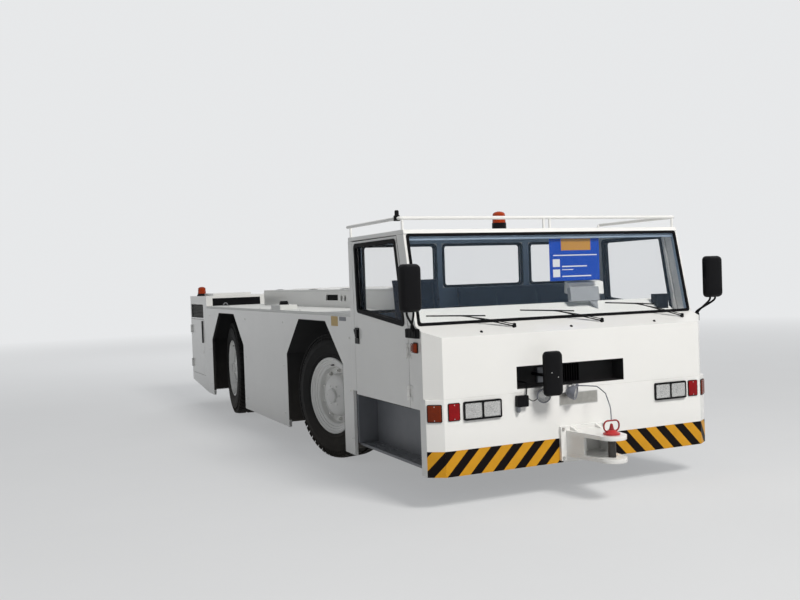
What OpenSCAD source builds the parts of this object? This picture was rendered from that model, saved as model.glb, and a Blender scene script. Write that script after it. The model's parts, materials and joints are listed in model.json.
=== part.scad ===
// Aircraft pushback tractor with a low full-width cab, four steered wheels and a flat deck.
// Frame: X to the vehicle's left, front faces -Y, Z up from the ground, Y = 0 at mid length.
// Distances along the vehicle are measured rearwards from the front face, heights from the ground.

/* [Body] */
// Width over the side panels
body_w = 2500; // [2300:10:2700]
// Length from the front face to the rear face
body_l = 7700; // [7500:10:8200]
// Height of the deck
deck_z = 1365; // [1340:5:1420]
// Thickness of the side panels
side_t = 30; // [15:1:40]
// Thickness of the deck plate
deck_t = 25; // [10:1:40]
// Lowest edge of the side panels
skirt_z = 185; // [150:5:260]
// Length of the rear housing
tail_l = 1000; // [950:10:1050]
// Height of the rear housing
tail_z = 1497; // [1450:1:1560]
// Height of the sloping lower edge at the rear face
tail_foot_z = 312; // [250:1:400]

/* [Wheel arches] */
// Middle of the front arch
arch_front_y = 2435; // [2400:5:2480]
// Middle of the rear arch, ahead of the rear face
arch_rear_l = 2050; // [2000:5:2100]
// Half width of an arch at its foot
arch_foot = 780; // [760:5:800]
// Half width of an arch at its top
arch_top = 372; // [330:2:420]
// Height of the bend in the arch's edge
arch_knee_z = 930; // [880:5:980]
// Height of the arch's top edge
arch_z = 1286; // [1250:2:1310]

/* [Cab] */
// Distance of the cab's rear face
cab_y = 1435; // [1400:5:1470]
// Height of the roof
roof_z = 1990; // [1940:5:2060]
// Thickness of the roof and its edge
roof_t = 32; // [25:1:60]
// Height of the cab floor
floor_z = 730; // [715:5:780]
// Thickness of a door
door_t = 40; // [30:1:45]
// Lowest edge of the doors
door_z = 705; // [690:5:750]
// Distance of the door's front edge
door_front_y = 322; // [310:1:340]
// Distance of the door's rear edge
door_rear_y = 1350; // [1320:5:1370]
// Gap round a door or lid
door_gap = 5; // [4:0.5:8]
// Widest opening of a door in degrees
door_swing = 80; // [60:5:85]
// Height of the windscreen's foot
screen_z = 1294; // [1280:2:1310]
// Distance of the windscreen's foot
screen_y = 192; // [180:2:210]
// Lean of the windscreen in degrees
screen_lean = 13; // [10:0.5:15]
// Thickness of the glass
glass_t = 8; // [5:1:12]

/* [Nose] */
// Underside of the bumper
bumper_z = 240; // [200:5:300]
// Height where the bumper meets the nose
nose_z = 787; // [770:1:800]
// Height of the fold above the flat front
fold_z = 1217; // [1200:1:1240]
// Half width of the flat front, where the corner faces start
fold_x = 1143; // [1100:1:1170]
// Set-back of the nose's corner at the side
corner_set = 105; // [60:1:130]
// Set-back of the bumper's corner at the side
bumper_set = 75; // [40:1:100]
// Depth of the bumper
bumper_d = 165; // [140:5:200]
// Thickness of the nose's plates
nose_t = 25; // [12:1:30]

/* [Step wells] */
// Width of a well, from the side to its inner wall
well_w = 200; // [150:5:250]
// Top of the step plates
step_z = 290; // [275:5:340]
// Thickness of the step plates
step_t = 20; // [10:1:25]

/* [Frame] */
// Half distance between the rails' outer faces
rail_x = 470; // [440:5:480]
// Thickness of a rail
rail_t = 40; // [25:1:60]
// Underside of the rails
rail_z = 700; // [695:1:720]
// Thickness of the cross walls
wall_t = 25; // [15:1:30]

/* [Axles] */
// Distance of the front axle
axle_front_y = 2435; // [2400:5:2480]
// Distance of the rear axle ahead of the rear face
axle_rear_l = 1800; // [1780:5:1850]
// Half distance between the kingpins
kingpin_x = 790; // [780:1:800]
// Radius of the axle tubes
axle_r = 95; // [80:1:98]
// Radius of a kingpin
kingpin_r = 30; // [24:1:36]
// Clearance round pins in their bores
pin_gap = 0.3; // [0.2:0.05:0.4]
// Length of a steering arm
arm_l = 300; // [290:5:320]
// Steering angle of the front wheels as parked, in degrees
steer_front = 14; // [-20:1:20]
// Steering angle of the rear wheels as parked, in degrees
steer_rear = -6; // [-20:1:20]

/* [Wheels] */
// Radius of a tyre
tyre_r = 580; // [560:5:590]
// Half width of a tyre
tyre_h = 150; // [130:1:155]
// Radius of a rim at the tyre's bead
rim_r = 345; // [320:1:360]
// Distance of the wheel's middle from its kingpin
wheel_off = 185; // [175:1:190]

/* [Hood] */
// Half width of the hood
hood_x = 650; // [600:5:700]
// Height of the hood's top
hood_z = 1554; // [1520:1:1600]
// Distance of the hood's front end
hood_front_y = 1500; // [1480:5:1600]
// Distance of the hood's rear end ahead of the rear face
hood_rear_l = 1700; // [1600:5:1800]
// Thickness of the hood's walls
hood_t = 20; // [10:1:30]
// Thickness of the lids
lid_t = 18; // [10:1:30]

/* [Towing hitch] */
// Distance of the front pin ahead of the front face
hitch_pin_y = 360; // [330:5:400]
// Radius of a jaw plate's round end
jaw_r = 105; // [90:1:120]
// Radius of a towing pin
hitch_pin_r = 28; // [20:1:35]
// Top of the lower jaw plate
jaw_low_z = 320; // [310:1:350]
// Underside of the upper jaw plate
jaw_high_z = 450; // [430:1:470]
// Thickness of a jaw plate
jaw_t = 30; // [20:1:40]
// Distance of the rear pin behind the rear face
rear_pin_y = 200; // [180:5:240]
// How far the rear hitch is higher than the front hitch
rear_hitch_rise = 120; // [80:5:200]

/* [Hidden] */
$fn = 48;

white = [0.93, 0.93, 0.91];
dark = [0.09, 0.09, 0.10];
steel = [0.42, 0.43, 0.45];
amber = [0.93, 0.38, 0.05];
red = [0.72, 0.05, 0.07];
clear = [0.55, 0.65, 0.72, 0.35];

hw = body_w / 2;
inner_x = hw - side_t;
well_x = hw - well_w;
tail_y = body_l - tail_l;
arch_rear_y = body_l - arch_rear_l;
axle_rear_y = body_l - axle_rear_l;
hood_rear_y = body_l - hood_rear_l;
hitch_tip_y = hitch_pin_y + jaw_r;
rear_tip_y = body_l + rear_pin_y + jaw_r;
front_y = -(hitch_tip_y + rear_tip_y) / 2 + hitch_tip_y;
seat_gap = 0.3;
roof_low_z = roof_z - roof_t;
screen_l = (roof_z - screen_z) / cos(screen_lean);
screen_top_y = screen_y + (roof_low_z - screen_z) * tan(screen_lean);
deck_low_z = deck_z - deck_t;
axle_z = tyre_r;
yoke_in = 140;
yoke_out = 200;
yoke_w = 60;
yoke_x = kingpin_x - 100;
// Service door in the side of the rear housing: [y0, y1, z0, z1]
tail_door_box = [body_l - 800, body_l - 60, 420, 1175];

// Puts what is drawn in distances from the front face at its place.
module placed() {
    translate([0, front_y, 0]) children();
}

// A block between two corners.
module block(x0, x1, y0, y1, z0, z1) {
    translate([x0, y0, z0]) cube([x1 - x0, y1 - y0, z1 - z0]);
}

// The same thing on both sides.
module both() {
    children();
    mirror([1, 0, 0]) children();
}

// A side outline of [distance, height] points, drawn from x0 to x1 and moved back by y.
module side_form(points, x0, x1, y = 0) {
    translate([x0, y, 0]) rotate([90, 0, 90]) linear_extrude(x1 - x0) polygon(points);
}

// A plan outline of [x, distance] points, drawn from z0 to z1.
module plan_form(points, z0, z1) {
    translate([0, 0, z0]) linear_extrude(z1 - z0) polygon(points);
}

module rod_x(x0, x1, y, z, r) {
    translate([x0, y, z]) rotate([0, 90, 0]) cylinder(r = r, h = x1 - x0);
}

module rod_y(x, y0, y1, z, r) {
    translate([x, y1, z]) rotate([90, 0, 0]) cylinder(r = r, h = y1 - y0);
}

module rod_z(x, y, z0, z1, r) {
    translate([x, y, z0]) cylinder(r = r, h = z1 - z0);
}

// A round bar between two points
module bar(a, b, r) {
    d = b - a;
    translate(a) rotate([0, acos(d[2] / norm(d)), atan2(d[1], d[0])]) rotate([0, 0, 45])
        cylinder(r = r, h = norm(d));
}

// A round bar along a row of points, whose stretches run on a little past its bends
module bent_bar(points, r) {
    last = len(points) - 1;
    for (i = [1 : last]) {
        way = (points[i] - points[i - 1]) / norm(points[i] - points[i - 1]) * r * 0.6;
        bar(points[i - 1] - (i > 1 ? 1 : 0) * way, points[i] + (i < last ? 1 : 0) * way, r);
    }
}

// Plan outline of the front with its corner faces, from the front face back to y1.
function front_plan(set, y1, t = 0) = [
    [-(hw - t), y1], [-(hw - t), set + 0.6 * t], [-(fold_x - 0.4 * t), t],
    [fold_x - 0.4 * t, t], [hw - t, set + 0.6 * t], [hw - t, y1]];

hinge_r = 12;
hinge_pin_r = 5;
hinge_h = 110;
hinge_leaf = 45;
// Fixed half of an upright hinge about [x, y] from height z: outer knuckles, pin and leaf.
// ahead is 1 where the leaf points to the front.
module hinge_fixed(x, y, z, ahead) {
    knuckle_h = hinge_h / 4;
    for (low = [z, z + hinge_h - knuckle_h]) {
        rod_z(x, y, low, low + knuckle_h, hinge_r);
        block(x - hinge_r, x - hinge_r + 6, min(y, y - ahead * hinge_leaf),
            max(y, y - ahead * hinge_leaf), low, low + knuckle_h);
    }
    rod_z(x, y, z, z + hinge_h, hinge_pin_r);
}

// Moving half of the same hinge
module hinge_moving(x, y, z, ahead) {
    low = z + hinge_h / 4 + 1;
    high = z + hinge_h * 3 / 4 - 1;
    difference() {
        union() {
            rod_z(x, y, low, high, hinge_r);
            block(x - hinge_r, x - hinge_r + 6, min(y, y + ahead * hinge_leaf),
                max(y, y + ahead * hinge_leaf), low, high);
        }
        rod_z(x, y, low - 1, high + 1, hinge_pin_r + pin_gap);
    }
}

door_hinge = [hw + hinge_r, door_front_y - door_gap / 2];
door_hinge_z = [760, 1060];
tail_hinge = [hw + hinge_r, tail_door_box[1] + door_gap / 2];
tail_hinge_z = [500, 980];

// Rails, cross walls and cross members
cross_y = [3060, 3700, 4300];
module frame() {
    color(dark) placed() {
        both() block(rail_x - rail_t, rail_x, cab_y + wall_t, body_l - side_t, rail_z, deck_low_z);
        for (y = [arch_front_y + arch_foot, arch_rear_y - arch_foot - wall_t])
            both() block(rail_x, inner_x, y + 10, y + 10 + wall_t, bumper_z, deck_low_z);
        for (y = cross_y)
            block(-rail_x + rail_t, rail_x - rail_t, y, y + 120, rail_z, rail_z + 40);
        block(-inner_x, inner_x, cab_y, cab_y + wall_t, bumper_z, deck_low_z);
    }
}

// Lower front with its two corner faces
module front_bumper() {
    color(white) placed()
        plan_form(front_plan(bumper_set, bumper_d), bumper_z, nose_z - seat_gap);
}

// Opening in the nose
recess = [-548, 401, 812, 975];
recess_d = 150;
recess_t = 12;
// Folded plate above the bumper, with the corner faces, the sloping ledge and the recess
module nose_panel() {
    side_y = door_front_y - door_gap;
    color(white) placed() {
        difference() {
            intersection() {
                plan_form(front_plan(corner_set, side_y), nose_z, screen_z);
                side_form([[0, nose_z], [0, fold_z], [screen_y - 7, screen_z],
                    [side_y, screen_z], [side_y, nose_z]], -hw, hw);
            }
            intersection() {
                plan_form(front_plan(corner_set, side_y + 1, nose_t), nose_z - 1, screen_z);
                side_form([[nose_t, nose_z - 1], [nose_t, fold_z - 17],
                    [screen_y, screen_z - nose_t], [side_y + 1, screen_z - nose_t],
                    [side_y + 1, nose_z - 1]], -hw, hw);
            }
            block(recess[0], recess[1], -1, nose_t + 1, recess[2], recess[3]);
        }
        both() block(hw - nose_t, hw, bumper_d, side_y, door_z, nose_z);
        both() for (z = door_hinge_z) hinge_fixed(door_hinge[0], door_hinge[1], z, 1);
    }
    color(dark) placed() difference() {
        block(recess[0] - recess_t, recess[1] + recess_t, nose_t, recess_d,
            recess[2] - recess_t, recess[3] + recess_t);
        block(recess[0], recess[1], nose_t - 1, recess_d - recess_t, recess[2], recess[3]);
    }
}

// Inner walls, belly plate and step plates below the doors
module step_wells() {
    color(steel) placed() {
        both() block(well_x - step_t, well_x, bumper_d, cab_y, bumper_z, floor_z - 30);
        block(-well_x + step_t, well_x - step_t, bumper_d, cab_y, bumper_z, bumper_z + step_t);
        both() difference() {
            block(well_x, hw - 50, bumper_d, cab_y, step_z - step_t, step_z);
            for (y = [bumper_d + 120 : step_hole_pitch : cab_y - 120])
                for (x = [-1, 1]) step_hole((well_x + hw - 50) / 2 + x * step_hole_w / 2, y);
        }
    }
}

step_hole_pitch = 230;
step_hole_w = 60;
step_hole_r = 14;
// Oval hole of a step plate, lying along the vehicle
module step_hole(x, y) {
    for (e = [-20, 20]) rod_z(x, y + e, step_z - step_t - 1, step_z + 1, step_hole_r);
    block(x - step_hole_r, x + step_hole_r, y - 20, y + 20, step_z - step_t - 1, step_z + 1);
}

module cab_floor() {
    color(dark) placed()
        block(-hw + door_t + door_gap, hw - door_t - door_gap, bumper_d, cab_y, floor_z - 30, floor_z);
}

// Sloping front pillars between the windscreen and the doors
module cab_pillars() {
    slope = tan(screen_lean);
    rise = roof_low_z - screen_z;
    foot_y = door_front_y - door_gap;
    color(white) placed() both()
        side_form([[screen_y, screen_z], [foot_y, screen_z], [foot_y + rise * slope, roof_low_z],
            [screen_y + rise * slope, roof_low_z]], hw - 28, hw);
}

// Windows in the cab's rear wall, each [x0, x1]
rear_windows = [[-1130, -460], [-370, 370], [460, 1130]];
window_low_z = 1500;
window_high_z = 1900;
module cab_rear_wall() {
    color(white) placed() {
        difference() {
            block(-hw, hw, cab_y - side_t, cab_y, deck_z, roof_low_z);
            for (w = rear_windows)
                block(w[0], w[1], cab_y - side_t - 1, cab_y + 1, window_low_z, window_high_z);
        }
        block(-hw, hw, cab_y - side_t, cab_y, floor_z, deck_z);
        both() block(hw - 60, hw, door_rear_y + door_gap, cab_y - side_t, floor_z, roof_low_z);
    }
}

module roof_panel() {
    color(white) placed() side_form([[screen_top_y - 8, roof_low_z], [screen_top_y + 4, roof_z],
        [cab_y, roof_z], [cab_y, roof_low_z]], -hw, hw);
}

frame_w = 45;
frame_d = 36;
// Draws in the windscreen's own plane, with its foot at height 0.
module on_screen() {
    translate([0, screen_y, screen_z]) rotate([-screen_lean, 0, 0]) children();
}

module windscreen_frame() {
    color(white) placed() difference() {
        on_screen() difference() {
            block(-hw + 28, hw - 28, 0, frame_d, -20, screen_l);
            block(-hw + 28 + frame_w, hw - 28 - frame_w, -1, frame_d + 1, frame_w, screen_l - 90);
        }
        block(-hw, hw, 0, door_rear_y, screen_z - 60, screen_z);
        block(-hw, hw, 0, door_rear_y, roof_low_z, roof_z + 60);
    }
}

module cab_glass() {
    color(clear) placed() {
        on_screen() block(-hw + 28 + frame_w, hw - 28 - frame_w, 6, 6 + glass_t,
            frame_w, screen_l - 90);
        for (w = rear_windows)
            block(w[0], w[1], cab_y - 20, cab_y - 20 + glass_t, window_low_z, window_high_z);
    }
}

dash_y = door_front_y - door_gap + seat_gap;
// Middle of the display that stands on the dashboard
display_x = 400;
dash_z = 1405;
dash_l = 200;
dash_rear_y = dash_y + dash_l;
display_half = 170;
// Padded top that rises from the windscreen's foot, with the display, its foot and a radio set on it
module dashboard() {
    end = dash_rear_y;
    color(white) placed() side_form([[dash_y, screen_z - 140], [dash_y, screen_z], [end - 40, dash_z],
        [end - 10, dash_z], [end, dash_z - 20], [end + 15, screen_z - 20], [end + 70, screen_z - 45],
        [end + 60, screen_z - 170], [dash_y + 110, screen_z - 210]], -hw + door_t + 20, hw - door_t - 20);
    color(steel) placed() {
        side_form([[end - 60, dash_z - 60], [end - 10, dash_z - 20], [end - 30, dash_z + 70],
            [end - 55, dash_z + 70]], display_x - 60, display_x + 60);
        side_form([[end - 85, dash_z + 55], [end - 5, dash_z + 70], [end - 15, dash_z + 170],
            [end - 75, dash_z + 155]], display_x - display_half, display_x + display_half);
        block(hw - 220, hw - 105, dash_y + 30, dash_y + 100, screen_z + 10, screen_z + 145);
    }
}

driver_in = 550;
wheel_x = -hw + driver_in;
hand_wheel_r = 205;
wheel_y = 740;
wheel_z = 1330;
wheel_lean = 20;
column_l = (wheel_z - floor_z) / cos(wheel_lean);
module steering_wheel() {
    color(dark) placed() {
        translate([wheel_x, wheel_y, wheel_z]) rotate([-wheel_lean, 0, 0]) {
            rotate_extrude() translate([hand_wheel_r, 0]) circle(r = 14, $fn = 16);
            cylinder(r = 45, h = 24, center = true);
            for (a = [0, 120, 240]) rotate([0, 0, a + 90])
                translate([35, -12, -6]) cube([hand_wheel_r - 40, 24, 12]);
            translate([0, 0, 15 - column_l]) cylinder(r = 24, h = column_l - 15);
        }
        block(wheel_x - 50, wheel_x + 50, wheel_y - column_l * sin(wheel_lean) - 50,
            wheel_y - column_l * sin(wheel_lean) + 50, floor_z, floor_z + 40);
    }
}

seat_z = floor_z + 200;
seat_pad_t = 110;
seat_pad_l = 455;
seat_back_h = 530;
seat_back_y = cab_y - 240;
driver_half = 235;
bench_half = 600;
bench_x = 270;
// Driver's seat and a bench for those who ride along: [middle, half width, height of the back]
seat_places = [[wheel_x, driver_half, seat_back_h + 80], [bench_x, bench_half, seat_back_h]];
module seats() {
    for (s = seat_places) placed() {
        front_y = seat_back_y + 100 - seat_pad_l;
        pad_z = seat_z + seat_pad_t;
        color(steel) block(s[0] - s[1] + 60, s[0] + s[1] - 60, front_y + 60, seat_back_y, floor_z, seat_z);
        color(dark) {
            block(s[0] - s[1], s[0] + s[1], front_y, seat_back_y + 100, seat_z, pad_z);
            side_form([[seat_back_y, pad_z], [seat_back_y + 100, pad_z], [seat_back_y + 170, pad_z + s[2]],
                [seat_back_y + 90, pad_z + s[2]]], s[0] - s[1], s[0] + s[1]);
        }
    }
}

function arch_points(y) = [[y - arch_foot, skirt_z - 50], [y - arch_foot, arch_knee_z],
    [y - arch_top, arch_z], [y + arch_top, arch_z], [y + arch_foot, arch_knee_z],
    [y + arch_foot, skirt_z - 50]];

// Side panel with both wheel arches, at the positive X side
module side_panel() {
    color(white) placed() difference() {
        side_form([[cab_y, skirt_z], [tail_y, skirt_z + 15], [tail_y, deck_low_z],
            [cab_y, deck_low_z]], inner_x, hw);
        for (y = [arch_front_y, arch_rear_y]) side_form(arch_points(y), inner_x - 1, hw + 1);
    }
}

module deck() {
    color(white) placed() difference() {
        block(-hw, hw, cab_y, tail_y, deck_low_z, deck_z);
        block(-hood_x + hood_t, hood_x - hood_t, hood_front_y + hood_t, hood_rear_y - hood_t,
            deck_low_z - 1, deck_z + 1);
    }
    color(white) placed() block(-hw + 6, -hw + 190, filler_y, filler_y + 320, deck_z, deck_z + 48);
}

// Distance of the filler box on the right edge of the deck
filler_y = 3400;

lid_split_y = (hood_front_y + hood_rear_y) / 2;
// Distance of the long vent in the hood's sides, with two round ones ahead of it
vent_y = 3300;
module hood_frame() {
    top = hood_z - lid_t;
    color(white) placed() {
        both() difference() {
            block(hood_x - hood_t, hood_x, hood_front_y, hood_rear_y, deck_z, top);
            block(hood_x - hood_t - 1, hood_x + 1, vent_y, vent_y + 360, 1437, 1497);
            for (y = [vent_y - 100, vent_y - 200]) rod_x(hood_x - hood_t - 1, hood_x + 1, y, 1462, 32);
        }
        for (y = [hood_front_y, lid_split_y - hood_t / 2, hood_rear_y - hood_t])
            block(-hood_x + hood_t, hood_x - hood_t, y, y + hood_t, deck_z, top);
    }
}

louvre_n = 8;
louvre_pitch = 62;
louvre_w = 40;
louvre_l = 760;
louvre_rise = 9;
// A hood lid between two distances with its louvres, hinged along its left edge
module hood_lid(y0, y1) {
    color(white) placed() {
        block(-hood_x, hood_x, y0, y1, hood_z - lid_t + seat_gap, hood_z);
        for (y = [y0 + 200, y1 - 300]) rod_y(hood_x + hinge_r, y, y + 100, hood_z - hinge_r, hinge_r);
        for (i = [0 : louvre_n - 1])
            side_form([[0, hood_z], [louvre_w, hood_z], [louvre_w, hood_z + louvre_rise]],
                -louvre_l / 2, louvre_l / 2, y1 - 420 - i * louvre_pitch);
    }
}

// Openings for the meshes
side_mesh = [body_l - 795, body_l - 40, 1200, 1385];
front_mesh = [505, 1165];
cover = [590, 1116];
tail_t = 30;
module tail_shell() {
    slope_z = tail_foot_z - skirt_z - 15;
    color(white) placed() {
        both() difference() {
            side_form([[tail_y, skirt_z + 15], [body_l, skirt_z + 15 + slope_z], [body_l, tail_z - tail_t],
                [tail_y, tail_z - tail_t]], hw - tail_t, hw);
            block(hw - tail_t - 1, hw + 1, tail_door_box[0] - door_gap, tail_door_box[1] + door_gap,
                tail_door_box[2] - door_gap, tail_door_box[3] + door_gap);
            block(hw - tail_t - 1, hw + 1, side_mesh[0], side_mesh[1], side_mesh[2], side_mesh[3]);
        }
        both() for (z = tail_hinge_z) hinge_fixed(tail_hinge[0], tail_hinge[1], z, -1);
        block(-hw, hw, tail_y, body_l, tail_z - tail_t, tail_z);
        both() block(cover[0], cover[1], tail_y + 150, body_l - 330, tail_z, tail_z + 34);
        block(-hw + tail_t, hw - tail_t, body_l - side_t, body_l, tail_foot_z, tail_z - tail_t);
        difference() {
            block(-hw + tail_t, hw - tail_t, tail_y, tail_y + side_t, bumper_z, tail_z - tail_t);
            both() block(front_mesh[0], front_mesh[1], tail_y - 1, tail_y + side_t + 1,
                deck_z, tail_z - tail_t - 1);
            both() block(rail_x - rail_t - seat_gap, rail_x + seat_gap, tail_y - 1, tail_y + side_t + 1,
                rail_z - seat_gap, deck_low_z + seat_gap);
        }
    }
}

mesh_n = 9;
// Dark louvres behind the openings of the rear housing
module tail_grilles() {
    color(dark) placed() both() {
        difference() {
            block(hw - tail_t + 4, hw - 6, side_mesh[0], side_mesh[1], side_mesh[2], side_mesh[3]);
            for (i = [0 : mesh_n - 1])
                block(hw - tail_t, hw + 1, side_mesh[0] + 12, side_mesh[1] - 12,
                    side_mesh[2] + 8 + i * (side_mesh[3] - side_mesh[2] - 12) / mesh_n,
                    side_mesh[2] + 20 + i * (side_mesh[3] - side_mesh[2] - 12) / mesh_n);
        }
        block(front_mesh[0], front_mesh[1], tail_y + 12, tail_y + 20, deck_z, tail_z - tail_t - 1);
    }
}

// One plain block for the engine and its gearbox, on the cross members
engine = [720, 1400, 570];
module engine_block() {
    color(steel) placed() block(-engine[0] / 2, engine[0] / 2, cross_y[0] - 20, cross_y[0] - 20 + engine[1],
        rail_z + 40, rail_z + 40 + engine[2]);
}

// Axle housing with its fork ends, about the axle's middle
module axle(y) {
    color(dark) placed() translate([0, y, axle_z]) {
        rod_x(-yoke_x, yoke_x, 0, 0, axle_r);
        rotate([0, 90, 0]) rotate_extrude() polygon([[0, -230], [110, -230], [200, -120],
            [200, 120], [110, 230], [0, 230]]);
        rod_y(0, -270, 270, 0, 70);
        both() {
            block(rail_x - 70, rail_x + 10, -120, 120, 40, rail_z - axle_z);
            block(yoke_x - 50, yoke_x, -yoke_w, yoke_w, -yoke_out, yoke_out);
            for (z = [-yoke_out, yoke_in]) difference() {
                union() {
                    block(yoke_x, kingpin_x, -yoke_w, yoke_w, z, z + yoke_out - yoke_in);
                    rod_z(kingpin_x, 0, z, z + yoke_out - yoke_in, yoke_w);
                }
                rod_z(kingpin_x, 0, z - 1, z + yoke_out - yoke_in + 1, kingpin_r + pin_gap);
            }
        }
    }
}

shaft_end = 270;
module prop_shaft() {
    color(steel) placed() {
        rod_y(0, axle_front_y + shaft_end, axle_rear_y - shaft_end, axle_z, 45);
        for (y = [axle_front_y + shaft_end, axle_rear_y - shaft_end - 60])
            rod_y(0, y, y + 60, axle_z, 75);
    }
}

hub_r = 56;
hub_h = yoke_in - 5;
arm_low = -120;
arm_high = -90;
tie_pin_r = 18;
tie_low = -165;
// Steered knuckle: side is 1 left and -1 right, ahead is 1 where its arm points rearwards.
// Both arms of an axle are parallel, so the rod between them stays in step with both.
module knuckle(side, y, ahead, steer) {
    color(steel) placed() translate([side * kingpin_x, y, axle_z]) rotate([0, 0, steer])
        scale_side(side) {
        cylinder(r = hub_r, h = 2 * hub_h, center = true);
        rod_z(0, 0, -yoke_out, yoke_out, kingpin_r);
        rod_x(0, wheel_off + 30 - seat_gap, 0, 0, 70);
        rod_x(75, wheel_off - 10, 0, 0, 150);
        block(-30, 30, ahead > 0 ? 0 : -arm_l, ahead > 0 ? arm_l : 0, arm_low, arm_high);
        rod_z(0, ahead * arm_l, arm_low, arm_high, 35);
        rod_z(0, ahead * arm_l, tie_low, arm_low, tie_pin_r);
    }
}

// Mirrors to the right side where side is -1.
module scale_side(side) {
    if (side > 0) children();
    else mirror([1, 0, 0]) children();
}

// Where a steering arm's pin stands, from the kingpin
function arm_pin(ahead, steer) = [-ahead * arm_l * sin(steer), ahead * arm_l * cos(steer)];

// Rod between both steering arms of an axle
module tie_rod(y, ahead, steer) {
    low = tie_low + 2;
    high = arm_low - 5;
    pin = arm_pin(ahead, steer);
    color(steel) placed() translate([pin[0], y + pin[1], axle_z]) {
        for (x = [kingpin_x, -kingpin_x]) difference() {
            rod_z(x, 0, low, high, 36);
            rod_z(x, 0, low - 1, high + 1, tie_pin_r + pin_gap);
        }
        rod_x(-kingpin_x + 30, kingpin_x - 30, 0, (low + high) / 2, 16);
    }
}

// Puts a wheel's form, drawn about Z with its outer face up, on its knuckle.
module on_knuckle(side, y, steer) {
    placed() translate([side * kingpin_x, y, axle_z]) rotate([0, 0, steer])
        translate([side * wheel_off, 0, 0]) rotate([0, side * 90, 0]) children();
}

module rim(side, y, steer) {
    b = rim_r - seat_gap;
    color(white) on_knuckle(side, y, steer) rotate_extrude($fn = 96) polygon([[0, 30], [262, 30],
        [b - 45, 0], [b - 45, 25 - tyre_h], [b, 25 - tyre_h], [b, tyre_h - 15], [b - 15, tyre_h - 10],
        [b - 70, tyre_h - 40], [b - 82, 62], [196, 60], [188, 116], [62, 122], [52, 148], [0, 148]]);
}

module tyre(side, y, steer) {
    h = tyre_h;
    color(dark) on_knuckle(side, y, steer) rotate_extrude($fn = 96) polygon([[rim_r, -h + 30],
        [rim_r + 50, -h + 8], [rim_r + 115, -h], [tyre_r - 50, -h + 8], [tyre_r - 15, -h + 24],
        [tyre_r, -h + 46], [tyre_r, h - 46], [tyre_r - 15, h - 24], [tyre_r - 50, h - 8],
        [rim_r + 115, h], [rim_r + 50, h - 8], [rim_r, h - 30]]);
}

cheek_x = 122;
// Jaw with two plates between cheeks and a bolted flange, ahead of the face at distance 0 and pointing to -Y
module jaw(reach) {
    for (z = [jaw_low_z - jaw_t, jaw_high_z]) difference() {
        union() {
            plan_form([[-160, 0], [-jaw_r, -reach], [jaw_r, -reach], [160, 0]], z, z + jaw_t);
            rod_z(0, -reach, z, z + jaw_t, jaw_r);
        }
        rod_z(0, -reach, z - 1, z + jaw_t + 1, hitch_pin_r + pin_gap);
    }
    difference() {
        block(-200, 200, -25, 0, jaw_low_z - 60, jaw_high_z + 60);
        for (x = [-180, 180], z = [jaw_low_z - 42, jaw_high_z + 42])
            translate([x, 1, z]) rotate([90, 0, 0]) cylinder(r = 9, h = 27);
    }
    both() plan_form([[154, -25], [cheek_x, -reach + 165], [cheek_x - 22, -reach + 165], [132, -25]],
        jaw_low_z, jaw_high_z);
    block(-134, 134, -50, -25, jaw_low_z, jaw_high_z);
    for (s = [-1, 1]) side_form([[-25, jaw_high_z + jaw_t], [-110, jaw_high_z + jaw_t],
        [-25, jaw_high_z + 58]], s * 110 - 8, s * 110 + 8);
}

module front_hitch() {
    color(white) placed() jaw(hitch_pin_y);
}

module rear_hitch() {
    color(white) placed() translate([0, body_l, rear_hitch_rise]) rotate([0, 0, 180])
        jaw(rear_pin_y);
}

ring_r = 6;
ring_half = 28;
ring_bend = 38;
// Towing pin with its collar and the long ring that lifts it
module towing_pin() {
    rod_z(0, 0, jaw_low_z - jaw_t - 15, jaw_high_z + jaw_t + 10, hitch_pin_r);
    rod_z(0, 0, jaw_high_z + jaw_t, jaw_high_z + jaw_t + 14, 60);
    rod_z(0, 0, jaw_high_z + jaw_t + 14, jaw_high_z + jaw_t + 34, 30);
    low = jaw_high_z + jaw_t + 24;
    for (z = [low, low + 2 * ring_bend]) rod_x(-ring_half, ring_half, 0, z, ring_r);
    for (turn = [0, 180]) translate([0, 0, low + ring_bend]) rotate([90, turn, 0])
        translate([ring_half, 0, 0]) rotate([0, 0, -90]) rotate_extrude(angle = 180)
            translate([ring_bend, 0]) circle(r = ring_r);
}

module hitch_pins() {
    color(red) placed() {
        translate([0, -hitch_pin_y, 0]) towing_pin();
        translate([0, body_l + rear_pin_y, rear_hitch_rise]) towing_pin();
    }
    color(dark) placed() bent_bar([[-31, -seat_gap, nose_z + 14], [-31, -24, nose_z + 14],
        [66, -112, nose_z + 8], [66, -215, nose_z - 35], [24, -320, nose_z - 119],
        [0, -hitch_pin_y, jaw_high_z + jaw_t + 26 + 2 * ring_bend]], 4);
}

rail_r = 14;
rail_bar_x = hw - 30;
rail_bar_z = roof_z + 84;
rail_front_y = screen_top_y + 120;
rail_rear_y = cab_y - 37;
rail_post_r = 10;
rail_bend = 45;
// Tube bent round the roof's front and sides, on posts
module roof_rail() {
    corner_y = rail_front_y + rail_bend;
    color(white) placed() {
        rod_x(-rail_bar_x + rail_bend, rail_bar_x - rail_bend, rail_front_y, rail_bar_z, rail_r);
        both() {
            translate([rail_bar_x - rail_bend, corner_y, rail_bar_z]) rotate([0, 0, -90])
                rotate_extrude(angle = 90) translate([rail_bend, 0]) circle(r = rail_r);
            rod_y(rail_bar_x, corner_y, rail_rear_y + 84, rail_bar_z, rail_r);
            for (y = [corner_y + 20, rail_rear_y]) rod_z(rail_bar_x, y, roof_z, rail_bar_z, rail_post_r);
            rod_z(44, rail_front_y, roof_z, rail_bar_z, rail_post_r);
        }
    }
}

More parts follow.
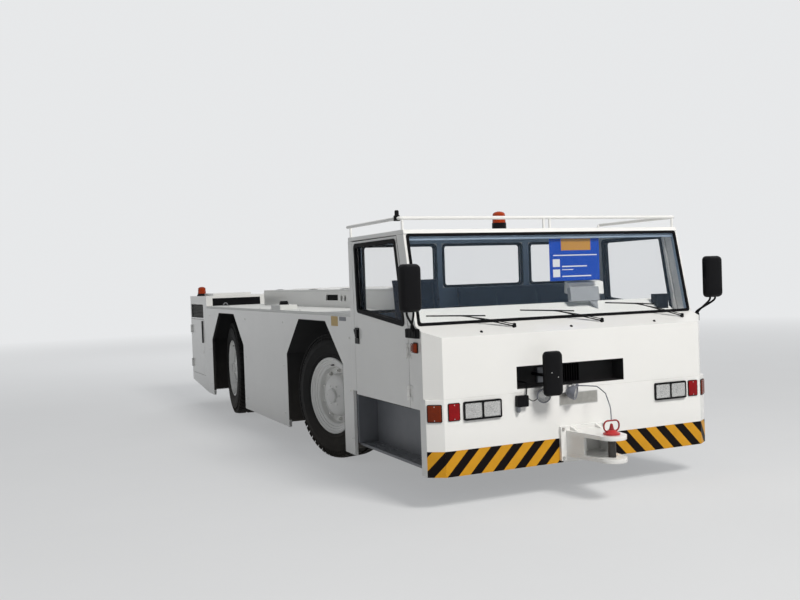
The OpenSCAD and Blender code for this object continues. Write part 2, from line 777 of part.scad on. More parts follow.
// Beacon with its foot and rounded dome
module beacon(h) {
    rotate_extrude() polygon([[0, 0], [70, 0], [70, 14], [63, 20], [62, 36], [53, h - 26], [46, h - 10],
        [32, h - 2], [0, h]]);
}

beacon_y = 1100;
tail_beacon = [-hw + 120, body_l - 220];
module amber_lamps() {
    color(amber) placed() {
        translate([0, beacon_y, roof_z]) beacon(190);
        translate([tail_beacon[0], tail_beacon[1], tail_z]) beacon(130);
        both() {
            rod_x(hw, hw + 18, 228, 1145, 38);
            translate([fold_x + 6, 4, 0]) rotate([0, 0, atan2(bumper_set, hw - fold_x)])
                block(10, 105, -14, 0, lamp_z[0] - 5, lamp_z[1] - 2);
        }
    }
}

lamp_w = 147;
lamp_x = [fold_x - 452, fold_x - 301];
lamp_z = [633, 754];
lamp_d = 12;
work_lamp_r = 52;
strip_t = 6;
// Two round work lamps that hang from strips out of the recess: [x, distance ahead, turn about Z]
work_lamps = [[-367, 62, -20], [-110, 62, 40]];
// Plug socket for the work lamps beside them: [left, right, bottom, top]
work_socket = [-569, -474, 686, 768];
socket_d = 36;
module headlamps() {
    color("silver") placed() both() for (x = lamp_x) block(x, x + lamp_w, -lamp_d, 0, lamp_z[0], lamp_z[1]);
    color(steel) placed() for (w = work_lamps) {
        block(w[0] - 12, w[0] + 12, -w[1], 60, recess[2], recess[2] + strip_t);
        translate([w[0], -w[1], recess[2] - work_lamp_r]) rotate([100, 0, w[2]]) rotate_extrude()
            polygon([[0, -54], [22, -50], [work_lamp_r - 8, -22], [work_lamp_r, 6], [work_lamp_r, 24],
                [0, 24]]);
        rod_z(w[0], -w[1], recess[2] - 14, recess[2], 9);
    }
    color(dark) placed() {
        block(work_socket[0], work_socket[1], -socket_d, 0, work_socket[2], work_socket[3]);
        rod_z(work_socket[0] + 16, -socket_d / 2, work_socket[2] - 38, work_socket[2] + 4, 15);
        bent_bar([[work_socket[1] - 12, -18, work_socket[3] - 8], [-478, -16, recess[2]],
            [-456, 24, recess[2] + 38], [-456, recess_d - recess_t - seat_gap, recess[2] + 38]], 5);
        bent_bar([[work_socket[1] - 6, -20, work_socket[3] - 18], [-436, -30, work_socket[3] - 46],
            [work_lamps[0][0] - 24, -40, recess[2] - work_lamp_r - 16]], 3);
    }
}

rear_lamp_in = 150;
rear_lamp_w = 200;
rear_lamp_d = 20;
rear_lamp_z = 900;
rear_lamp_h = 100;
module red_lamps() {
    color(red) placed() both() {
        block(fold_x - 121, fold_x - 31, -lamp_d, 0, lamp_z[0], lamp_z[1]);
        block(hw - rear_lamp_in - rear_lamp_w, hw - rear_lamp_in, body_l, body_l + rear_lamp_d,
            rear_lamp_z, rear_lamp_z + rear_lamp_h);
    }
}

// Mirror housing about its middle, with chamfered front edges: [width, depth, height]
module mirror_head(x, y, z, size) {
    w = size[0] / 2;
    d = size[1] / 2;
    plan_form([[x - w, y + d], [x - w, y - d * 0.4], [x - w + 30, y - d], [x + w - 30, y - d],
        [x + w, y - d * 0.4], [x + w, y + d]], z - size[2] / 2, z + size[2] / 2);
}

mirror_block = [125, door_front_y - 10, fold_z - 5, fold_z + 63];
mirror_z = 1569;
module side_mirrors() {
    color(dark) placed() both() {
        block(hw, hw + 34, mirror_block[0], mirror_block[1], mirror_block[2], mirror_block[3]);
        for (x = [0, 40])
            bar([hw + 9, 175 + x, mirror_block[3] - 20], [hw + 75 + x, 34, mirror_z - 140], 9);
        mirror_head(hw + 102, 42, mirror_z, [182, 80, 332]);
    }
}

front_mirror_x = -327;
front_mirror_out = 138;
module front_mirror() {
    color(dark) placed() {
        mirror_head(front_mirror_x, -front_mirror_out, nose_z + 133, [152, 56, 322]);
        rod_y(front_mirror_x, -front_mirror_out, recess_d - recess_t, nose_z + 113, 12);
    }
}

// A point out from the sloping ledge, and one out from the windscreen's plane
ledge_lean = atan2(screen_z - fold_z, screen_y - 7);
function on_ledge(x, along, out) = [x, along * cos(ledge_lean) - out * sin(ledge_lean),
    fold_z + along * sin(ledge_lean) + out * cos(ledge_lean)];
function off_glass(x, up, out) = [x, screen_y + up * sin(screen_lean) - out * cos(screen_lean),
    screen_z + up * cos(screen_lean) + out * sin(screen_lean)];

// The three wipers: [pivot's place across, height of the blade's middle up the glass, lean of the blade]
wiper_places = [[-493, 62, 2.4], [289, 66, 3.3], [1071, 88, 3.7]];
wiper_reach = 422;
pivot_along = 112;
blade_l = 480;
module wipers() {
    color(dark) placed() for (w = wiper_places) {
        translate(on_ledge(w[0], pivot_along, seat_gap)) rotate([ledge_lean, 0, 0]) cylinder(r = 15, h = 24);
        bar(on_ledge(w[0], pivot_along, 18), off_glass(w[0] - wiper_reach, w[1], 12), 6);
        bar(on_ledge(w[0] - 14, pivot_along - 16, 12), off_glass(w[0] - wiper_reach + 60, w[1] - 4, 12), 5);
        on_screen() translate([w[0] - wiper_reach, 0, w[1]]) rotate([0, w[2], 0])
            block(-blade_l / 2, blade_l / 2, -16, 6 - seat_gap, -5, 5);
    }
}

// Door at the positive X side
module door() {
    slope = tan(screen_lean);
    top_z = roof_low_z - door_gap - 3;
    front_top = door_front_y + (top_z - screen_z + 5) * slope;
    color(white) placed() difference() {
        side_form([[door_front_y, door_z], [door_front_y, screen_z - 5], [front_top, top_z],
            [door_rear_y, top_z], [door_rear_y, door_z]], hw - door_t, hw);
        side_form(door_window, hw - door_t - 1, hw + 1);
    }
    color(white) placed() for (z = door_hinge_z) hinge_moving(door_hinge[0], door_hinge[1], z, 1);
    color(dark) placed() {
        block(hw, hw + 8, door_rear_y - 95, door_rear_y - 18, 1150, 1250);
        side_form([[door_rear_y - 88, 1165], [door_rear_y - 70, 1165], [door_rear_y - 30, 1225],
            [door_rear_y - 30, 1240], [door_rear_y - 88, 1240]], hw + 8, hw + 22);
    }
}

door_window = [[385, 1305], [1262, 1392], [1290, 1915], [505, 1915]];
module door_glass() {
    color(clear) placed() side_form(door_window, hw - 26, hw - 26 + glass_t);
}

lock_bar_t = 14;
lock_bar_l = 300;
// Service door of the rear housing at the positive X side
module tail_door() {
    color(white) placed() {
        block(hw - tail_t, hw, tail_door_box[0], tail_door_box[1], tail_door_box[2], tail_door_box[3]);
        block(hw, hw + lock_bar_t, tail_door_box[0] + 50, tail_door_box[0] + 85,
            tail_door_box[3] - 15 - lock_bar_l, tail_door_box[3] - 15);
        for (z = tail_hinge_z) hinge_moving(tail_hinge[0], tail_hinge[1], z, -1);
    }
}

frame();
front_bumper();
nose_panel();
step_wells();
cab_floor();
cab_pillars();
cab_rear_wall();
roof_panel();
windscreen_frame();
cab_glass();
dashboard();
steering_wheel();
seats();
side_panel();  // left_side_panel
mirror([1, 0, 0]) side_panel();  // right_side_panel
deck();
hood_frame();
tail_shell();
tail_grilles();
engine_block();
axle(axle_front_y);  // front_axle
axle(axle_rear_y);  // rear_axle
prop_shaft();
front_hitch();
rear_hitch();
hitch_pins();
roof_rail();
amber_lamps();
headlamps();
red_lamps();
side_mirrors();
front_mirror();
wipers();
door();  // left_door
mirror([1, 0, 0]) door();  // right_door
door_glass();  // left_door_glass
mirror([1, 0, 0]) door_glass();  // right_door_glass
hood_lid(hood_front_y, lid_split_y - 3);  // front_hood_lid
hood_lid(lid_split_y + 3, hood_rear_y);  // rear_hood_lid
tail_door();  // left_tail_door
mirror([1, 0, 0]) tail_door();  // right_tail_door
knuckle(1, axle_front_y, 1, steer_front);  // front_left_knuckle
knuckle(-1, axle_front_y, 1, steer_front);  // front_right_knuckle
knuckle(1, axle_rear_y, -1, steer_rear);  // rear_left_knuckle
knuckle(-1, axle_rear_y, -1, steer_rear);  // rear_right_knuckle
tie_rod(axle_front_y, 1, steer_front);  // front_tie_rod
tie_rod(axle_rear_y, -1, steer_rear);  // rear_tie_rod
rim(1, axle_front_y, steer_front);  // front_left_rim
rim(-1, axle_front_y, steer_front);  // front_right_rim
rim(1, axle_rear_y, steer_rear);  // rear_left_rim
rim(-1, axle_rear_y, steer_rear);  // rear_right_rim
tyre(1, axle_front_y, steer_front);  // front_left_tyre
tyre(-1, axle_front_y, steer_front);  // front_right_tyre
tyre(1, axle_rear_y, steer_rear);  // rear_left_tyre
tyre(-1, axle_rear_y, steer_rear);  // rear_right_tyre
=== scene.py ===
"""The looks of the aircraft pushback tractor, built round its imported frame. All lengths are in metres."""
import json
import math

import bmesh
import bpy
from mathutils import Matrix, Vector

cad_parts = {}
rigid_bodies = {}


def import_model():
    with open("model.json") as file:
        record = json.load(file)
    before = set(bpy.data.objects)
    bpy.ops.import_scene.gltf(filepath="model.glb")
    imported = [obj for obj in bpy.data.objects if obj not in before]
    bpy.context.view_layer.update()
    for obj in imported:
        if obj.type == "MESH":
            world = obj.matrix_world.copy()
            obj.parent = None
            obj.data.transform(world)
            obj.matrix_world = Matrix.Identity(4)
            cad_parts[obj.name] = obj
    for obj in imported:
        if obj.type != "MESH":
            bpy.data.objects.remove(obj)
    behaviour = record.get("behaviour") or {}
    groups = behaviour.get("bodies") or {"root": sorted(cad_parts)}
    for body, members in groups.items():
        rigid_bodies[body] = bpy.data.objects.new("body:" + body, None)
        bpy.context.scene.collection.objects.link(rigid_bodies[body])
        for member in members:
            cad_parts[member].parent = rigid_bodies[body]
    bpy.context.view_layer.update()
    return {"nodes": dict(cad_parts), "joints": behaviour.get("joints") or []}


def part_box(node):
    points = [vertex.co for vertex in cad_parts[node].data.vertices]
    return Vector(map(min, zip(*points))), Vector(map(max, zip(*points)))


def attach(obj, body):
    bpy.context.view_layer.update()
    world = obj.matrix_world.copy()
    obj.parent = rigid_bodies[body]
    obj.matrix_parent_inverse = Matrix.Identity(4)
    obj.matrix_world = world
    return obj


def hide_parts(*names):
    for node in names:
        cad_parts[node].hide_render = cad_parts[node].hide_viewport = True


for default in list(bpy.data.objects):
    bpy.data.objects.remove(default)
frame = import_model()

# Places on the tractor, read from the frame where a node's box gives them. Distances in at() are
# measured rearwards from the front face.
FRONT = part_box("front_bumper")[0].y
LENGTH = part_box("tail_shell")[1].y - FRONT
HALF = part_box("roof_panel")[1].x
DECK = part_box("hood_frame")[0].z
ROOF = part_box("roof_panel")[1].z
TAIL = 1.497
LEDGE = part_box("nose_panel")[1].z
FOLD = 1.217
SCREEN_Y = 0.192
SCREEN_LEAN = math.radians(13)
LEDGE_LEAN = math.atan2(LEDGE - FOLD, SCREEN_Y - 0.007)
CAB_REAR = 1.435
WALL = 0.030
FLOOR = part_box("cab_floor")[1].z
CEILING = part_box("roof_panel")[0].z
DOOR_THICK = 0.040
UP = Vector((0, 0, 1))


def at(x, y, z):
    return Vector((x, FRONT + y, z))


def facing(origin, out, up=UP):
    """Matrix whose X is to the right for who looks at the face, Y is up along it and Z stands out of it."""
    out = Vector(out).normalized()
    right = Vector(up).cross(out).normalized()
    return Matrix.Translation(origin) @ Matrix((right, out.cross(right), out)).transposed().to_4x4()


NOSE = facing(at(0, 0, 0), (0, -1, 0))
BACK = facing(at(0, LENGTH, 0), (0, 1, 0))
SCREEN = facing(at(0, SCREEN_Y, LEDGE), (0, -math.cos(SCREEN_LEAN), math.sin(SCREEN_LEAN)),
                (0, math.sin(SCREEN_LEAN), math.cos(SCREEN_LEAN)))
SLOPE = facing(at(0, 0, FOLD), (0, -math.sin(LEDGE_LEAN), math.cos(LEDGE_LEAN)),
               (0, math.cos(LEDGE_LEAN), math.sin(LEDGE_LEAN)))
CAB_BACK = facing(at(0, CAB_REAR, 0), (0, 1, 0))


def side_face(side):
    """Face of one side: 1 is the vehicle's left, and heights are from the ground."""
    return facing(Vector((side * HALF, 0, 0)), (side, 0, 0))


def side_outline(side, points):
    """Points of (distance, height) in the side face's own plane, counter-clockwise."""
    made = [(side * (FRONT + y), z) for y, z in points]
    return made if side > 0 else made[::-1]


def span(side, near, far):
    """The lower and the higher end of a reach between two distances from the middle, on one side."""
    return sorted((side * near, side * far))


def side_span(side, front, rear):
    """The same along a side face, between two distances from the front face."""
    return span(side, FRONT + front, FRONT + rear)


def on(place, u, v, w=0.0):
    """The place moved along its own axes."""
    return place @ Matrix.Translation((u, v, w))


def feed(tree, made, *feeds, **values):
    """Sets a node up. A value that is another node's output is linked, and None leaves an input free."""
    inputs = [(number, value) for number, value in enumerate(feeds) if value is not None]
    for key, value in values.items():
        if hasattr(made, key):
            setattr(made, key, value)
        else:
            inputs.append((key.replace("_", " "), value))
    for key, value in inputs:
        if isinstance(value, bpy.types.NodeSocket):
            tree.links.new(value, made.inputs[key])
        else:
            made.inputs[key].default_value = value
    return made


def node(tree, kind, *feeds, **values):
    return feed(tree, tree.nodes.new(kind), *feeds, **values)


def finish(material, **values):
    """Sets inputs of a material's own shader."""
    tree = material.node_tree
    return feed(tree, tree.nodes["Principled BSDF"], **values)


def shade(colour, factor=1.0):
    return tuple(min(1.0, c * factor) for c in colour) + (1.0,)


def two_tone(tree, value, *ends):
    """Colour ramp between two ends, each a position with its colour."""
    made = node(tree, "ShaderNodeValToRGB", value)
    for element, (position, colour) in zip(made.color_ramp.elements, ends):
        element.position = position
        element.color = colour
    return made.outputs["Color"]


def blend(tree, share, first, second):
    """Mix of two colours. Their sockets follow five that belong to other kinds of value."""
    return node(tree, "ShaderNodeMix", share, *[None] * 5, first, second, data_type="RGBA").outputs[2]


def relief(tree, height, strength, distance=0.001):
    return node(tree, "ShaderNodeBump", Height=height, Strength=strength, Distance=distance).outputs["Normal"]


SMEAR_FINER = 2.7
SKIN_ROUGH = 0.08


def surface(name, colour, rough, metal=0.0, spread=0.05, spread_scale=4.0, grain=0.0, grain_scale=300.0,
            rough_spread=0.06, coat=0.0, dust=0.0, dust_top=0.5, sheen=0.0, specular=0.5):
    """A material with uneven colour and gloss, a fine grain, and dust that gathers low down."""
    made = bpy.data.materials.new(name)
    made.use_nodes = True
    tree = made.node_tree
    place = node(tree, "ShaderNodeTexCoord").outputs["Object"]
    clouds = node(tree, "ShaderNodeTexNoise", Vector=place, Scale=spread_scale, Detail=5.0,
                  Roughness=0.6).outputs["Fac"]
    base = two_tone(tree, clouds, (0.3, shade(colour, 1 - spread)), (0.7, shade(colour, 1 + spread)))
    if dust:
        base = dusty(tree, place, clouds, base, dust, dust_top)
    smear = node(tree, "ShaderNodeTexNoise", Vector=place, Scale=spread_scale * SMEAR_FINER, Detail=3.0)
    gloss = node(tree, "ShaderNodeMapRange", smear.outputs["Fac"], To_Min=max(0.02, rough - rough_spread),
                 To_Max=min(1.0, rough + rough_spread))
    finish(made, Base_Color=base, Roughness=gloss.outputs["Result"], Metallic=metal, Coat_Weight=coat,
           Coat_Roughness=SKIN_ROUGH, Sheen_Weight=sheen, Specular_IOR_Level=specular)
    if grain:
        fine = node(tree, "ShaderNodeTexNoise", Vector=place, Scale=grain_scale, Detail=2.0)
        finish(made, Normal=relief(tree, fine.outputs["Fac"], grain))
    return made


DUST = (0.20, 0.17, 0.13, 1.0)


def dusty(tree, place, clouds, base, amount, top):
    """Mixes a dust colour in below a height, with an uneven edge."""
    height = node(tree, "ShaderNodeSeparateXYZ", place).outputs["Z"]
    share = node(tree, "ShaderNodeMapRange", height, clamp=True, From_Min=0.0, From_Max=top, To_Min=amount,
                 To_Max=0.0)
    uneven = node(tree, "ShaderNodeMath", share.outputs["Result"], clouds, operation="MULTIPLY")
    return blend(tree, uneven.outputs["Value"], base, DUST)


def clear(name, colour, rough, alpha):
    """A see-through material: a tinted skin with gloss."""
    made = surface(name, colour, rough, spread=0.03, rough_spread=0.01)
    finish(made, Alpha=alpha, Coat_Weight=1.0, Coat_Roughness=0.02)
    return made


RIBS_PER_METRE = 60.0


def lens(name, colour, glow):
    """A moulded lens: deep colour, gloss and fine ribs behind the skin."""
    made = surface(name, colour, 0.16, spread=0.14, spread_scale=30.0, rough_spread=0.05, coat=0.12,
                   specular=0.12)
    tree = made.node_tree
    place = node(tree, "ShaderNodeTexCoord").outputs["Object"]
    ribs = node(tree, "ShaderNodeTexWave", Vector=place, Scale=RIBS_PER_METRE, bands_direction="DIAGONAL")
    finish(made, Emission_Color=shade(colour), Emission_Strength=glow,
           Normal=relief(tree, ribs.outputs["Fac"], 0.35, 0.002))
    return made


FLECKS_PER_METRE = 70.0
FLECK_EDGE = (0.16, 0.24)
THREADS_PER_METRE = 260.0


def woven(name, colour, speckle):
    """Seat cloth: a fine weave with flecks of a second colour."""
    made = surface(name, colour, 0.9, spread=0.15, spread_scale=8.0, sheen=0.4, specular=0.25)
    tree = made.node_tree
    place = node(tree, "ShaderNodeTexCoord").outputs["Object"]
    flecks = node(tree, "ShaderNodeTexVoronoi", Vector=place, Scale=FLECKS_PER_METRE)
    ends = zip(FLECK_EDGE, ((1, 1, 1, 1), (0, 0, 0, 1)))
    edge = two_tone(tree, flecks.outputs["Distance"], *ends)
    plain = tree.nodes["Principled BSDF"].inputs["Base Color"].links[0].from_socket
    threads = [node(tree, "ShaderNodeTexWave", Vector=place, Scale=THREADS_PER_METRE, bands_direction=way)
               for way in ("X", "Z")]
    weave = node(tree, "ShaderNodeMath", *[thread.outputs["Fac"] for thread in threads], operation="ADD")
    finish(made, Base_Color=blend(tree, edge, plain, shade(speckle)),
           Normal=relief(tree, weave.outputs["Value"], 0.5))
    return made


WHITE = surface("white_gloss_paint", (0.86, 0.86, 0.84), 0.24, spread=0.015, spread_scale=1.6, grain=0.04,
                grain_scale=90.0, coat=0.12, dust=0.35, dust_top=0.55, specular=0.35)
DECK_PAINT = surface("deck_paint", (0.74, 0.75, 0.73), 0.5, spread=0.05, grain=0.5, grain_scale=220.0)
DASH = surface("dash_skin", (0.92, 0.93, 0.90), 0.42, spread=0.02, grain=0.25, grain_scale=500.0)
DARK = surface("chassis_paint", (0.022, 0.022, 0.024), 0.5, spread=0.2, grain=0.2, grain_scale=120.0,
               dust=0.7, dust_top=0.9)
GREY = surface("grey_paint", (0.16, 0.17, 0.19), 0.45, spread=0.08, grain=0.15, dust=0.3, dust_top=0.6)
STEEL = surface("worked_steel", (0.33, 0.33, 0.34), 0.36, metal=1.0, spread=0.12, grain=0.2,
                grain_scale=150.0)
ZINC = surface("zinc_plate", (0.60, 0.60, 0.58), 0.3, metal=1.0, spread=0.08, grain=0.1)
CHROME = surface("lamp_reflector", (0.58, 0.56, 0.53), 0.12, metal=1.0, spread=0.05, rough_spread=0.04)
RED = surface("red_pin_paint", (0.50, 0.028, 0.03), 0.35, spread=0.12, grain=0.2)
PLASTIC = surface("black_plastic", (0.006, 0.006, 0.007), 0.42, spread=0.15, grain=0.35, grain_scale=700.0,
                  specular=0.10)
RUBBER = surface("black_rubber", (0.006, 0.006, 0.007), 0.7, spread=0.15, grain=0.3, grain_scale=400.0,
                 specular=0.10)
TYRE = surface("tyre_rubber", (0.009, 0.009, 0.009), 0.78, spread=0.25, spread_scale=9.0, grain=0.5,
               grain_scale=260.0, dust=0.22, dust_top=0.5, specular=0.2)
TAPE_BLACK = surface("black_tape", (0.006, 0.004, 0.004), 0.45, spread=0.1, grain=0.1, specular=0.08)
TAPE_YELLOW = surface("yellow_tape", (0.62, 0.295, 0.012), 0.45, spread=0.06, spread_scale=12.0, grain=0.1,
                      specular=0.25)
LABEL = surface("yellow_label", (0.50, 0.33, 0.08), 0.45, spread=0.08, spread_scale=20.0, grain=0.1)
PLATE = surface("blank_metal_plate", (0.42, 0.41, 0.38), 0.34, metal=0.9, spread=0.12, spread_scale=25.0,
                grain=0.2)
BLUE = surface("blue_card", (0.002, 0.060, 0.44), 0.5, spread=0.05, grain=0.1, specular=0.2)
ORANGE = surface("orange_card", (0.52, 0.26, 0.045), 0.5, spread=0.05, grain=0.1, specular=0.2)
PAPER = surface("white_card", (0.80, 0.82, 0.84), 0.55, spread=0.04, grain=0.1)
MIRROR = surface("mirror_glass", (0.85, 0.86, 0.88), 0.04, metal=1.0, spread=0.02, rough_spread=0.02)
GLASS = clear("window_glass", (0.16, 0.24, 0.34), 0.03, 0.05)
LAMP_GLASS = clear("lamp_glass", (0.75, 0.77, 0.78), 0.05, 0.30)
# Amber of the corner lamps and side markers: a darker copy of the beacon's amber, with painted shade in it.
AMBER_PAINTED_SHADE = lens("amber_lens", (0.145, 0.016, 0.001), 0.10)
BEACON = lens("beacon_dome", (0.34, 0.034, 0.002), 0.10)
RED_LENS = lens("red_lens", (0.24, 0.002, 0.004), 0.08)
CLOTH = woven("patterned_cloth", (0.018, 0.028, 0.060), (0.10, 0.14, 0.22))
BENCH_CLOTH = woven("bench_cloth", (0.070, 0.100, 0.145), (0.15, 0.20, 0.27))
MAT = surface("floor_mat", (0.02, 0.02, 0.02), 0.8, spread=0.2, grain=0.6, grain_scale=150.0)
# Blue-grey of the cab's inside: painted shade of the shaded cab, made lighter to stand in for light that does
# not reach inside.
TRIM_PAINTED_SHADE = surface("cab_trim_painted_shade", (0.34, 0.44, 0.56), 0.72, spread=0.10, grain=0.35, grain_scale=240.0)
LINER = surface("black_lining", (0.010, 0.010, 0.011), 0.75, spread=0.2, grain=0.4, grain_scale=140.0,
                dust=0.4, dust_top=0.9)
LAMP_GREY = surface("lamp_housing", (0.17, 0.18, 0.21), 0.42, spread=0.10, spread_scale=30.0, grain=0.2)
READER = surface("grey_box", (0.36, 0.38, 0.40), 0.5, spread=0.05, spread_scale=20.0, grain=0.2)
PIN_STEEL = surface("oiled_pin", (0.060, 0.055, 0.052), 0.38, metal=0.8, spread=0.2, spread_scale=30.0,
                    grain=0.2)
RING_RED = surface("worn_red_ring", (0.30, 0.020, 0.022), 0.42, spread=0.25, spread_scale=40.0, grain=0.3)
GLASS_OFF = surface("dark_display", (0.010, 0.014, 0.018), 0.10, spread=0.1, rough_spread=0.03, coat=0.6)


def rounded(points, radius, steps=4):
    """A convex outline with its corners rounded."""
    made = []
    count = len(points)
    for i, corner in enumerate(points):
        corner = Vector(corner)
        before = (Vector(points[i - 1]) - corner).normalized()
        after = (Vector(points[(i + 1) % count]) - corner).normalized()
        half = math.acos(max(-1.0, min(1.0, before.dot(after)))) / 2
        reach = radius / math.tan(half)
        middle = corner + (before + after).normalized() * (radius / math.sin(half))
        first = corner + before * reach - middle
        last = corner + after * reach - middle
        turn = math.atan2(first.x * last.y - first.y * last.x, first.dot(last))
        for step in range(steps + 1):
            angle = turn * step / steps
            c, s = math.cos(angle), math.sin(angle)
            made.append((middle.x + first.x * c - first.y * s, middle.y + first.x * s + first.y * c))
    return made


def rect(u0, v0, u1, v1):
    return [(u0, v0), (u1, v0), (u1, v1), (u0, v1)]


def inset(points, distance):
    """A convex outline moved inwards by a distance. Its points run counter-clockwise."""
    made = []
    count = len(points)
    for i, corner in enumerate(points):
        corner = Vector(corner)
        before = (corner - Vector(points[i - 1])).normalized()
        after = (Vector(points[(i + 1) % count]) - corner).normalized()
        normal = (Vector((-before.y, before.x)) + Vector((-after.y, after.x))).normalized()
        made.append(tuple(corner + normal * distance / max(0.3, normal.dot(Vector((-after.y, after.x))))))
    return made


def circle(radius, steps=24, middle=(0.0, 0.0)):
    return [(middle[0] + radius * math.cos(2 * math.pi * i / steps),
             middle[1] + radius * math.sin(2 * math.pi * i / steps)) for i in range(steps)]


def smooth_path(points, steps=6):
    """More points along a curve through the given ones."""
    points = [Vector(p) for p in points]
    ends = [points[0] * 2 - points[1]] + points + [points[-1] * 2 - points[-2]]
    made = []
    for i in range(1, len(ends) - 2):
        a, b, c, d = ends[i - 1:i + 3]
        for step in range(steps):
            t = step / steps
            made.append(0.5 * (b * 2 + (c - a) * t + (a * 2 - b * 5 + c * 4 - d) * t * t
                               + (b * 3 - a - c * 3 + d) * t ** 3))
    return made + [points[-1]]


SHARP = math.radians(32)
BEVEL_FROM = math.radians(35)
FLAT_WITHIN = math.radians(0.4)
SAME_POINT = 0.00002


class Piece:
    """Gathers the faces of one object. Each part takes the material chosen last."""

    def __init__(self, name, material):
        self.name = name
        self.mesh = bmesh.new()
        self.materials = [material]
        self.index = 0

    def use(self, material):
        if material not in self.materials:
            self.materials.append(material)
        self.index = self.materials.index(material)
        return self

    def faces(self, points, loops):
        verts = [self.mesh.verts.new(p) for p in points]
        for loop in loops:
            made = self.mesh.faces.new([verts[i] for i in loop])
            made.material_index = self.index
            made.smooth = True
        return self

    def loft(self, rings, caps=True, closed=False):
        """Skin over rings of equally many points."""
        count = len(rings[0])
        points = [p for ring in rings for p in ring]
        loops = []
        total = len(rings) if closed else len(rings) - 1
        for i in range(total):
            for k in range(count):
                a, b = i * count, ((i + 1) % len(rings)) * count
                loops.append((a + k, a + (k + 1) % count, b + (k + 1) % count, b + k))
        if caps and not closed:
            loops.append(tuple(reversed(range(count))))
            loops.append(tuple(range(len(points) - count, len(points))))
        return self.faces(points, loops)

    def prism(self, outline, w0, w1, place=Matrix()):
        return self.loft([[place @ Vector((u, v, w)) for u, v in outline] for w in (w0, w1)])

    def box(self, low, high):
        return self.prism(rect(low[0], low[1], high[0], high[1]), low[2], high[2])

    def block(self, x0, x1, y0, y1, z0, z1):
        """A block between two corners, in distances from the front face."""
        return self.box(at(x0, y0, z0), at(x1, y1, z1))

    def lathe(self, profile, place=Matrix(), steps=32):
        """Turns a profile of (radius, height) about the place's Z. A ring of radius 0 is a point."""
        points = []
        rings = []
        for radius, height in profile:
            if radius == 0:
                rings.append([len(points)] * steps)
                points.append(place @ Vector((0, 0, height)))
                continue
            rings.append(list(range(len(points), len(points) + steps)))
            for i in range(steps):
                angle = 2 * math.pi * i / steps
                points.append(place @ Vector((radius * math.cos(angle), radius * math.sin(angle), height)))
        loops = []
        for a, b in zip(rings, rings[1:]):
            for k in range(steps):
                loop = [a[k], a[(k + 1) % steps], b[(k + 1) % steps], b[k]]
                loops.append(tuple(dict.fromkeys(loop)))
        return self.faces(points, loops)

    def tube(self, path, radius, sides=10, closed=False, flat=1.0):
        """A round or flattened bar along a path."""
        path = [Vector(p) for p in path]
        count = len(path)
        rings = []
        side = None
        for i, point in enumerate(path):
            ahead = path[(i + 1) % count] if closed or i < count - 1 else point
            behind = path[i - 1] if closed or i else point
            way = (ahead - behind).normalized()
            if side is None:
                guess = UP if abs(way.z) < 0.9 else Vector((1, 0, 0))
                side = way.cross(guess).normalized()
            side = (side - way * side.dot(way)).normalized()
            other = way.cross(side)
            r = radius[i] if isinstance(radius, (list, tuple)) else radius
            rings.append([point + side * (r * math.cos(a)) + other * (r * flat * math.sin(a))
                          for a in (2 * math.pi * k / sides for k in range(sides))])
        return self.loft(rings, closed=closed)

    def strip(self, outer, inner, w0, w1, place=Matrix()):
        """A frame between two outlines of equally many points."""
        rings = []
        for outline, w in ((outer, w0), (outer, w1), (inner, w1), (inner, w0)):
            rings.append([place @ Vector((u, v, w)) for u, v in outline])
        return self.loft(rings, closed=True)

    def disc(self, radius, w0, w1, place=Matrix(), steps=32):
        return self.lathe([(0, w0), (radius, w0), (radius, w1), (0, w1)], place, steps)

    def slab(self, corners, radius, w0, w1, place):
        """A plate between two corners (u0, v0, u1, v1), rounded off."""
        return self.prism(rounded(rect(*corners), radius), w0, w1, place)

    def bolt(self, origin, out, size):
        """A hexagon head on a washer."""
        place = facing(origin, out, UP if abs(Vector(out).z) < 0.9 else (0, 1, 0))
        self.disc(size * 1.15, 0, size * 0.2, place, 16)
        return self.prism(circle(size * 0.92, 6), size * 0.2, size * 0.8, place)

    def build(self):
        """Makes the scene's object from the gathered faces."""
        data = bpy.data.meshes.new(self.name)
        self.mesh.to_mesh(data)
        self.mesh.free()
        for material in self.materials:
            data.materials.append(material)
        made = bpy.data.objects.new(self.name, data)
        bpy.context.scene.collection.objects.link(made)
        return made

    def done(self, body, slot, replaces=(), bevel=0.0):
        bmesh.ops.recalc_face_normals(self.mesh, faces=self.mesh.faces)
        made = self.build()
        made.data.set_sharp_from_angle(angle=SHARP)
        if bevel:
            soften(made, bevel)
        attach(made, body)
        if replaces:
            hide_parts(*replaces)


def soften(made, width):
    """Rounds the sharp edges of an object a little."""
    rim = made.modifiers.new("rounded_edges", "BEVEL")
    rim.width = width
    rim.segments = 2
    rim.limit_method = "ANGLE"
    rim.angle_limit = BEVEL_FROM
    rim.harden_normals = True


def dress(name, material, bevel=0.0):
    """Gives a CAD node its finish, and rounded edges where bevel is set."""
    made = frame["nodes"][name]
    for entry in made.material_slots:
        entry.material = material
    if bevel:
        merge = made.modifiers.new("merged_points", "WELD")
        merge.merge_threshold = SAME_POINT
        flat = made.modifiers.new("whole_faces", "DECIMATE")
        flat.decimate_type = "DISSOLVE"
        flat.angle_limit = FLAT_WITHIN
        soften(made, bevel)


PHOTO_WIDTH = 800
FOCAL_PIXELS = 929.934
YAW_PITCH_ROLL = (24.526, -1.237, 1.975)
CAMERA_AT = (-4.065, -5.732, 1.628)


